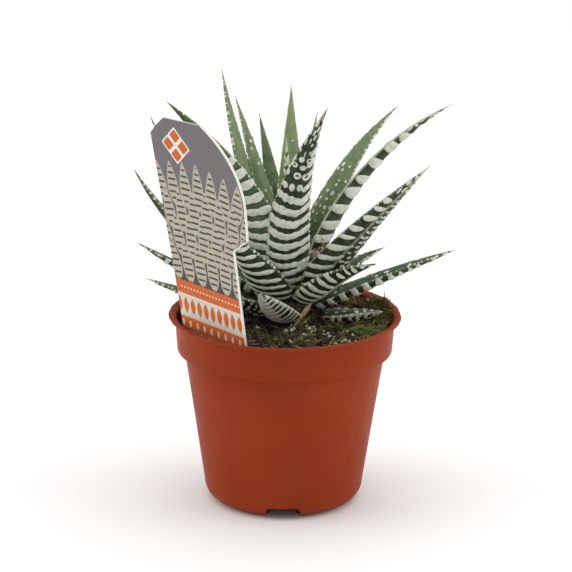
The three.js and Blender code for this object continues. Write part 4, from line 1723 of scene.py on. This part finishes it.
@dataclass(frozen=True)
class Moss:
    """Cushion moss: soft matt shoots, olive where shaded, yellow-green at the tips, brown where dry."""

    deep: str = "383A17"
    fresh: str = "918C42"
    withered: str = "59411F"
    vivid: str = "4E6C20"

    def build(self) -> bpy.types.Material:
        """Make the material.

        Returns:
            The material.
        """
        s = Surface("moss_shoots")
        tint = s.attribute("tint")
        varied = s.math("ADD", tint, s.span(s.grain(0.8), 0.3, 0.7, -0.15, 0.15))
        colour = s.mix(varied, self.deep, self.fresh)
        colour = s.mix(s.span(s.grain(4.5), 0.48, 0.62, 0, 0.75), colour, self.withered)
        colour = s.mix(s.span(tint, 1.05, 1.2), colour, self.vivid)
        return s.finish(colour, 0.8, s.bump(s.grain(0.3), 0.08, 0.6))


@dataclass(frozen=True)
class SoilBed:
    """The body of peat: a fine rough surface on the solid's form.

    It follows the pot's inside with a gap, up over the wall's ledge to the rim of the surface.
    """

    ground: Ground
    around: int = 300
    along: int = 190
    gap: float = 0.45
    floor_gap: float = 0.3
    side_share: float = 0.2
    corner_height: float = 9.4
    ledge_heights: tuple[float, float, float] = (55.4, 55.6, 57.0)
    rim_drop: float = 2.0
    sunk: float = 0.3
    smooth_rim: float = 3.0

    def build(self) -> None:
        """Press a sphere into the pot and rough up its upper side."""
        bed, rise, turn = sphere_primitive(self.around, self.along)
        pot = NurseryPot()
        rim = self.ground.rim_radius
        floor = pot.floor_top + self.floor_gap
        corner = pot.inner_radius(self.corner_height) - self.gap
        wall_top, ledge_foot, ledge_top = self.ledge_heights
        section = (
            (0.0, floor),
            (pot.pad_radius, floor),
            (corner - pot.inner_corner, floor),
            (corner, self.corner_height),
            (pot.inner_radius(wall_top) - self.gap, ledge_foot),
            (pot.band_foot - pot.wall - self.gap, ledge_top),
            (rim, self.ground.level - self.rim_drop),
        )
        radii, heights = zip(*section)
        shares = np.linspace(0, self.side_share, len(section))
        inwards = 1 - (rise - self.side_share) / (1 - self.side_share)
        radius = np.where(rise < self.side_share, np.interp(rise, shares, radii), rim * inwards)
        x, y = radius * np.cos(turn), radius * np.sin(turn)
        side = np.interp(rise, shares, heights)
        rough = 0.55 * ripple(x, y, 0.9, 3.1) + 0.35 * ripple(x, y, 2.3, 8.7)
        edge = smoothstep(rim, rim - self.smooth_rim, radius)
        top = self.ground.height(x, y) + rough * edge - self.sunk
        write_points(bed.data, np.stack([x, y, np.where(rise <= self.side_share, side, top)], axis=1))
        store(bed.data, "tint", np.clip(rough, -0.3, 0.5))
        turn_outwards(bed)
        smooth(bed)
        hand_over(bed, "peat_bed", Peat().build(), "soil", "soil")


@dataclass(frozen=True)
class SoilCover:
    """Crumbs, moss, perlite, bark and fibres that lie on the peat: how many there are of each.

    A ring gives the nearest and the farthest from the pot's axis. The wall's inside is the reach
    of all but the moss that spills over the lip. Each cushion of moss has its middle and radius,
    and the crescent its middle, its radius and its breadth.
    """

    ground: Ground
    crumbs: int = 2600
    perlite: int = 60
    bark: int = 90
    moss: int = 5600
    moss_heap: int = 1100
    moss_tuft: int = 420
    fibres: int = 150
    leaf_bases: int = 26
    caught_crumbs: int = 26
    reach: float = 37.0
    crumb_ring: tuple[float, float] = (9.0, 37.2)
    perlite_ring: tuple[float, float] = (10.0, 36.5)
    bark_ring: tuple[float, float] = (12.0, 36.0)
    fibre_ring: tuple[float, float] = (10.0, 33.0)
    moss_ring: tuple[float, float] = (6.0, 37.0)
    cushions: tuple[tuple[float, float, float], ...] = ((33, 9, 6.5), (27, 16, 5))
    crescent: tuple[float, float, float, float] = (8, 8, 24, 10)
    tuft_place: tuple[float, float] = (27.5, -11.2)
    tuft_spread: tuple[float, float] = (2.5, 1.5)

    def lay_down(
        self, piece: bpy.types.Object, name: str, material: bpy.types.Material, angle: float = 180.0
    ) -> None:
        """Smooth a piece of the cover up to an angle, name it, dress it and set it on the frame."""
        smooth(piece, angle)
        hand_over(piece, name, material, "soil")

    def on_ground(self, x: np.ndarray, y: np.ndarray, lift: float = 0.0) -> np.ndarray:
        """Points on the ground at x and y, raised by lift."""
        return np.stack([x, y, self.ground.height(x, y) + lift], axis=1)

    def pebbles(
        self, rng: np.random.Generator, x: np.ndarray, y: np.ndarray, size: np.ndarray, flat: float,
        levels: int = 1, sunk: float = 0.25, base: np.ndarray | None = None
    ) -> tuple[list[Face], np.ndarray]:
        """Rough lumps lying on the ground.

        Args:
            rng: source of the random draws.
            x, y: places of the lumps.
            size: radius of each.
            flat: share of the height that is kept.
            levels: fineness of the lump's mesh.
            sunk: share of the radius that is under the surface.
            base: heights that they lie at, the ground's where left out.

        Returns:
            Faces of one lump and the points of all.
        """
        faces, points = pebble_shape(levels)
        count = len(x)
        lumps = points[None] * rng.uniform(0.72, 1.28, (count, len(points), 1))
        lumps = lumps * rng.uniform(0.7, 1.3, (count, 1, 3))
        lumps = np.einsum("nij,nkj->nki", random_turns(rng, count), lumps)
        lumps[:, :, 2] *= flat
        lumps *= size[:, None, None]
        z = (self.ground.height(x, y) if base is None else base) + size * flat * (1 - 2 * sunk) - 0.2
        return faces, lumps + np.stack([x, y, z], axis=1)[:, None, :]

    def build_crumbs(self) -> None:
        """Peat crumbs of all sizes."""
        rng = Draws.CRUMBS.begin()
        x, y = self.ground.scatter(rng, self.crumbs, *self.crumb_ring)
        size = np.minimum(0.32 + rng.gamma(1.6, 0.22, self.crumbs), 1.7)
        lumps = self.pebbles(rng, x, y, size, 0.75)
        crumbs = strew(*lumps, rng.uniform(-0.1, 0.9, self.crumbs) ** 2)
        self.lay_down(crumbs, "peat_crumbs", Peat(name="peat_crumbs", dry="47351F").build())

    def build_perlite(self) -> None:
        """White perlite grains and pale mineral bits, most of them at the front."""
        rng = Draws.PERLITE.begin()
        x, y = self.ground.scatter(rng, self.perlite, *self.perlite_ring)
        front_x, front_y = rng.uniform(0, 26, self.perlite), rng.uniform(-26, -5, self.perlite)
        x, y = np.append(x, front_x), np.append(y, front_y)
        keep = np.hypot(x, y) < self.perlite_ring[1]
        x, y = x[keep], y[keep]
        lumps = self.pebbles(rng, x, y, rng.uniform(0.25, 0.75, len(x)), 0.9, levels=2, sunk=0.0)
        grains = strew(*lumps, rng.uniform(0, 1, len(x)))
        self.lay_down(
            grains, "perlite_grains", TintedScrap("expanded_perlite", "DDD8C8", "A99F88", 0.85).build(), 50
        )

    def build_bark(self) -> None:
        """Flat chips of composted bark."""
        rng = Draws.BARK.begin()
        x, y = self.ground.scatter(rng, self.bark, *self.bark_ring)
        lumps = self.pebbles(rng, x, y, rng.uniform(0.7, 2.0, self.bark), 0.35, levels=2, sunk=0.0)
        chips = strew(*lumps, rng.uniform(0, 1, self.bark))
        self.lay_down(chips, "bark_chips", TintedScrap("composted_bark", "20150E", "62463A").build(), 40)

    def build_caught_crumbs(self) -> None:
        """Brown and beige crumbs caught between the leaves at the right."""
        rng = Draws.CAUGHT_CRUMBS.begin()
        count = self.caught_crumbs
        x = np.clip(rng.normal(12.1, 1.2, count), 10.2, 13.3)
        y = 2.2 + 0.55 * (x - 12) + rng.normal(0, 0.4, count)
        base = 92.1 + 0.3 * (x - 12) + rng.normal(0, 1.2, count)
        lumps = self.pebbles(rng, x, y, rng.uniform(0.55, 1.05, count), 0.9, levels=2, base=base)
        crumbs = strew(*lumps, rng.uniform(0, 1, count))
        self.lay_down(crumbs, "caught_crumbs", TintedScrap("caught_crumbs", "4A3421", "C9B598").build(), 50)

    def moss_places(self, rng: np.random.Generator, count: int) -> tuple[np.ndarray, np.ndarray]:
        """Places of moss shoots: a cushion at the right, and patches over the front right.

        Args:
            rng: source of the random draws.
            count: how many at most.

        Returns:
            Their x and y.
        """
        x, y = self.ground.scatter(rng, count * 6, *self.moss_ring)

        def heap(centre_x: float, centre_y: float, radius: float) -> np.ndarray:
            """Closeness to a round heap's middle, 1 in it and near 0 past its radius."""
            return np.exp(-(np.hypot(x - centre_x, y - centre_y) / radius) ** 2)

        patch = ripple(x, y, 1 / 6, 4.4) + 0.5 * ripple(x, y, 1 / 2.2, 9.1)
        cushion = sum(heap(*place) for place in self.cushions)
        middle_x, middle_y, radius, breadth = self.crescent
        ring = np.exp(-((np.hypot(x - middle_x, y - middle_y) - radius) / breadth) ** 2)
        crescent = ring * smoothstep(-14, 4, x) * smoothstep(14, 2, y)
        near = heap(-7, -18, 5) * 0.7 + heap(5.5, -5, 4) * 0.5
        density = np.clip(1.4 * cushion + (1.3 * crescent + near) * np.clip(0.7 + 3 * patch, 0, 1), 0, 1)
        keep = rng.uniform(0, 1, len(x)) < density
        return x[keep][:count], y[keep][:count]

    def rim_shoots(self, rng: np.random.Generator, count: int) -> np.ndarray:
        """Feet of taller shoots: a heap that spills over the lip at the right, and moss along the far wall.

        Args:
            rng: source of the random draws.
            count: how many are drawn for the heap, with half as many along the wall.

        Returns:
            The feet of those that fall near the rim.
        """
        heap = rng.normal((35.8, 8.0), (2.2, 4.2), (count, 2))
        wall = rng.normal((27.5, 25.5), (4.5, 4.0), (count // 2, 2))
        places = np.vstack([heap, wall])
        from_top = np.hypot(heap[:, 0] - 36.2, heap[:, 1] - 7.5)
        rise = np.append(2.2 * np.exp(-(from_top / 3.4) ** 2), np.full(len(wall), 1.2))
        radius = np.hypot(*places.T)
        inside = (radius > 29) & (radius < 39.0)
        places, rise, radius = places[inside], rise[inside], radius[inside]
        inward = places * np.minimum(1, self.reach / radius)[:, None]
        lift = rise * rng.uniform(0.3, 1, len(rise)) - 0.3
        return np.column_stack([places, self.ground.height(*inward.T) + lift])

    def build_moss(self) -> None:
        """Moss cushion, patches of short curved shoots and one vivid tuft."""
        rng = Draws.MOSS.begin()
        x, y = self.moss_places(rng, self.moss)
        tuft = rng.normal(self.tuft_place, self.tuft_spread, (self.moss_tuft, 2))
        tall = np.vstack([self.rim_shoots(rng, self.moss_heap), self.on_ground(*tuft.T, 0.1)])
        start = np.vstack([self.on_ground(x, y, -0.4), tall])
        height = np.append(rng.uniform(0.7, 1.9, len(x)), rng.uniform(1.0, 2.2, len(tall)))
        count = len(height)
        lean = rng.normal(0, 0.5, (count, 2)) * height[:, None]
        heading = np.stack([lean[:, 0], lean[:, 1], height], axis=1)
        bend = np.stack([rng.normal(0, 0.4, count), rng.normal(0, 0.4, count), -0.25 * height], axis=1)
        radius = rng.uniform(0.17, 0.34, count)
        strands = Strands(start, heading, bend, radius, taper=0.5, sides=4, rings=4)
        number = np.arange(count)
        tint = rng.uniform(0, 1, count) ** 1.3 * np.where(number < len(x), 1.0, 0.7)
        tint = np.where(number < count - len(tuft), tint, rng.uniform(1.1, 1.25, count))
        self.lay_down(strands.build(tint), "moss_shoots", Moss().build())

    def build_fibres(self) -> None:
        """Dry root and straw fibres lying on the peat."""
        rng = Draws.FIBRES.begin()
        count = self.fibres
        x, y = self.ground.scatter(rng, count, *self.fibre_ring)
        turn = rng.uniform(0, math.tau, count)
        length = rng.uniform(2, 7, count)
        rise = rng.normal(0.2, 0.5, count)
        heading = np.stack([np.cos(turn) * length, np.sin(turn) * length, rise], axis=1)
        bend = rng.normal(0, 0.9, (count, 3)) * np.array([1, 1, 0.3])
        end = np.stack([x, y], axis=1) + heading[:, :2] + bend[:, :2]
        keep = np.hypot(end[:, 0], end[:, 1]) < self.reach
        radius = rng.uniform(0.07, 0.16, count)
        strands = Strands(self.on_ground(x, y, 0.5)[keep], heading[keep], bend[keep], radius[keep], taper=0.3)
        fibres = strands.build(rng.uniform(0, 1, int(keep.sum())))
        self.lay_down(fibres, "peat_fibres", TintedScrap("dry_root_fibre", "5A3A22", "C0A67C").build())

    def build_leaf_bases(self) -> None:
        """Dried leaf bases round the stem."""
        rng = Draws.LEAF_BASES.begin()
        count = self.leaf_bases
        turn = np.linspace(0, math.tau, count, endpoint=False) + rng.normal(0, 0.1, count)
        ring = rng.uniform(4.5, 6.5, count)
        x, y = Rosette.CROWN[0] + ring * np.cos(turn), Rosette.CROWN[1] + ring * np.sin(turn)
        length = rng.uniform(4, 8, count)
        heading = np.stack([np.cos(turn) * length * 0.8, np.sin(turn) * length * 0.8, length * 0.25], axis=1)
        bend = np.stack([np.zeros(count), np.zeros(count), -length * 0.35], axis=1)
        start = self.on_ground(x, y, 0.2)
        radius = rng.uniform(1.2, 2.2, count)
        strands = Strands(
            start, heading, bend, radius, flat=0.25, taper=0.5, foot_share=0.7, sides=10, rings=12
        )
        bases = strands.build(rng.uniform(0, 1, count))
        # Near-black brown: the bases' own dry colour, darkened further as painted shade in the crown.
        self.lay_down(bases, "dried_leaf_bases", TintedScrap("dried_leaf_base", "1C140E", "42301F").build())

    def build_husk(self) -> None:
        """A dry husk that stands in the peat and leans on the rosette, widest near its top."""
        ways = ((2.2, -8.6, 65.8), (6.6, 0.5, 10.0), (0.6, 0.1, 0.3))
        start, heading, bend = (np.array([way]) for way in ways)
        strands = Strands(
            start, heading, bend, np.array([0.36]), flat=2.7, taper=0.7, foot_share=0.28, widest=0.78,
            sides=12, rings=20
        )
        finish = TintedScrap("dry_husk", "6B4327", "D0BC98", 0.7, grain_mm=1.0)
        self.lay_down(strands.build(np.array([0.5])), "dry_husk", finish.build())

    def build_seedlings(self) -> None:
        """Thin green blades of weeds, with a few dry stalks and a dark sprig by the moss.

        Each kind has its places on the ground, where its blades lead from there, and their radius.
        """
        weeds = ((26.3, -12.5), (27.0, -12), (30, -6), (24, -3), (18, -17))
        weed_ways = ((4.4, 9.6, 2.6), (2.0, 3.5, 2.2), (-3, 2, 2.4), (2.4, 2.8, 2.5), (2.5, 1.2, 2.0))
        stalks = ((24.8, 13), (26, 12), (27, 12), (22.6, 1.5))
        stalk_ways = ((4.0, -6, 8.5), (4.6, -2, 7.0), (-3.0, 3, 5), (3.2, 0.5, 5.2))
        sprigs = ((33.2, 8), (34.5, 8.5), (35.2, 7.5), (37.0, 7.0))
        sprig_ways = ((2.2, -3, 5.2), (-1.6, -1, 4.6), (1.2, 2, 4.2), (-1.0, 0.5, 12.0))
        weed_leaf = TintedScrap("weed_leaf", "5E8A3A", "8DB45C", 0.5)
        dry_stalk = TintedScrap("dry_stalk", "A2612E", "C98B4E", 0.6)
        dark_sprig = TintedScrap("dark_moss_sprig", "1F2A12", "4A4A22", 0.7)
        kinds = (
            ("weed_blades", weeds, weed_ways, 0.24, weed_leaf),
            ("dry_stalks", stalks, stalk_ways, 0.22, dry_stalk),
            ("moss_sprig", sprigs, sprig_ways, 0.3, dark_sprig),
        )
        for name, places, ways, radius, finish in kinds:
            start = self.on_ground(*np.array(places, dtype=float).T, -0.3)
            way = np.array(ways)
            bend = np.stack([way[:, 1] * 0.12, -way[:, 0] * 0.12, -way[:, 2] * 0.3], axis=1)
            radii = np.full(len(way), radius)
            strands = Strands(start, way, bend, radii, flat=0.5, taper=0.5, sides=8, rings=14)
            self.lay_down(strands.build(np.linspace(0, 1, len(way))), name, finish.build())

    def build(self) -> None:
        """Build every piece of the cover."""
        self.build_crumbs()
        self.build_perlite()
        self.build_bark()
        self.build_moss()
        self.build_fibres()
        self.build_leaf_bases()
        self.build_husk()
        self.build_caught_crumbs()
        self.build_seedlings()


# Studio.


@dataclass(frozen=True)
class SoftBox:
    """Square soft light that faces the plant: place and side in millimetres, power in watts."""

    name: str
    place: tuple[float, float, float]
    side: float
    power: float
    target: tuple[float, float, float] = (0.0, 0.0, 70.0)

    def build(self) -> None:
        """Add the light."""
        data = bpy.data.lights.new(self.name, "AREA")
        data.shape = "SQUARE"
        data.size = self.side * MM
        data.energy = self.power
        light = bpy.data.objects.new(self.name, data)
        bpy.context.scene.collection.objects.link(light)
        light.location = Vector(self.place) * MM
        direction = Vector(self.target) * MM - light.location
        light.rotation_euler = direction.to_track_quat("-Z", "Y").to_euler()


@dataclass(frozen=True)
class Studio:
    """Pale floor, soft lights and the camera of the photograph, which looks at aim."""

    aim: tuple[float, float, float] = (0.25, 0.0, 80.1)
    distance: float = 1000.0
    elevation: float = 16.84
    roll: float = 0.6
    lens: float = 173.5
    sensor: float = 36.0
    floor_size: float = 12000.0
    floor_colour: str = "F4F4F2"
    sky: float = 0.62
    lights: tuple[SoftBox, ...] = (
        SoftBox("soft_box_left", (-1100, -100, 600), 900, 4.5),
        SoftBox("soft_box_right", (1100, -100, 550), 900, 4.5),
        SoftBox("soft_box_top", (0, 400, 2200), 3200, 34),
    )

    def build_floor(self) -> None:
        """Lay the floor, which isn't part of the plant."""
        start_alone()
        bpy.ops.mesh.primitive_plane_add(size=self.floor_size * MM)
        floor = bpy.context.object
        floor.name = "studio_floor"
        floor.data.materials.append(Surface("matt_white_paper").finish(self.floor_colour, 0.9))

    def build_camera(self) -> None:
        """Set up the camera, tilted down and turned about its own axis."""
        data = bpy.data.cameras.new("photograph")
        data.lens = self.lens
        data.sensor_width = self.sensor
        data.sensor_fit = "HORIZONTAL"
        data.clip_start = 0.01
        data.clip_end = 100
        camera = bpy.data.objects.new("photograph", data)
        bpy.context.scene.collection.objects.link(camera)
        tilt = math.radians(self.elevation)
        back = Vector((0, -math.cos(tilt), math.sin(tilt))) * self.distance
        tilted = Matrix.Rotation(math.radians(90 - self.elevation), 4, "X")
        turned = tilted @ Matrix.Rotation(math.radians(self.roll), 4, "Z")
        camera.matrix_world = Matrix.Translation((Vector(self.aim) + back) * MM) @ turned
        bpy.context.scene.camera = camera

    def build(self) -> None:
        """Set up floor, world, lights and camera."""
        self.build_floor()
        world = bpy.data.worlds.new("studio")
        bpy.context.scene.world = world
        world.use_nodes = True
        background = world.node_tree.nodes["Background"]
        feed(world.node_tree, background, {"Color": (1.0, 1.0, 1.0, 1.0), "Strength": self.sky})
        for light in self.lights:
            light.build()
        self.build_camera()
        bpy.context.scene.view_settings.view_transform = "Standard"


def main() -> None:
    """Build the potted plant piece by piece, then the studio round it."""
    logging.basicConfig(level=logging.INFO, format="%(name)s %(message)s")
    ground = Ground()
    NurseryPot().build()
    SoilBed(ground).build()
    SoilCover(ground).build()
    PlantLabel().build()
    Rosette(tuple(leaf_forms())).build()
    Studio().build()


if __name__ == "__main__":
    main()
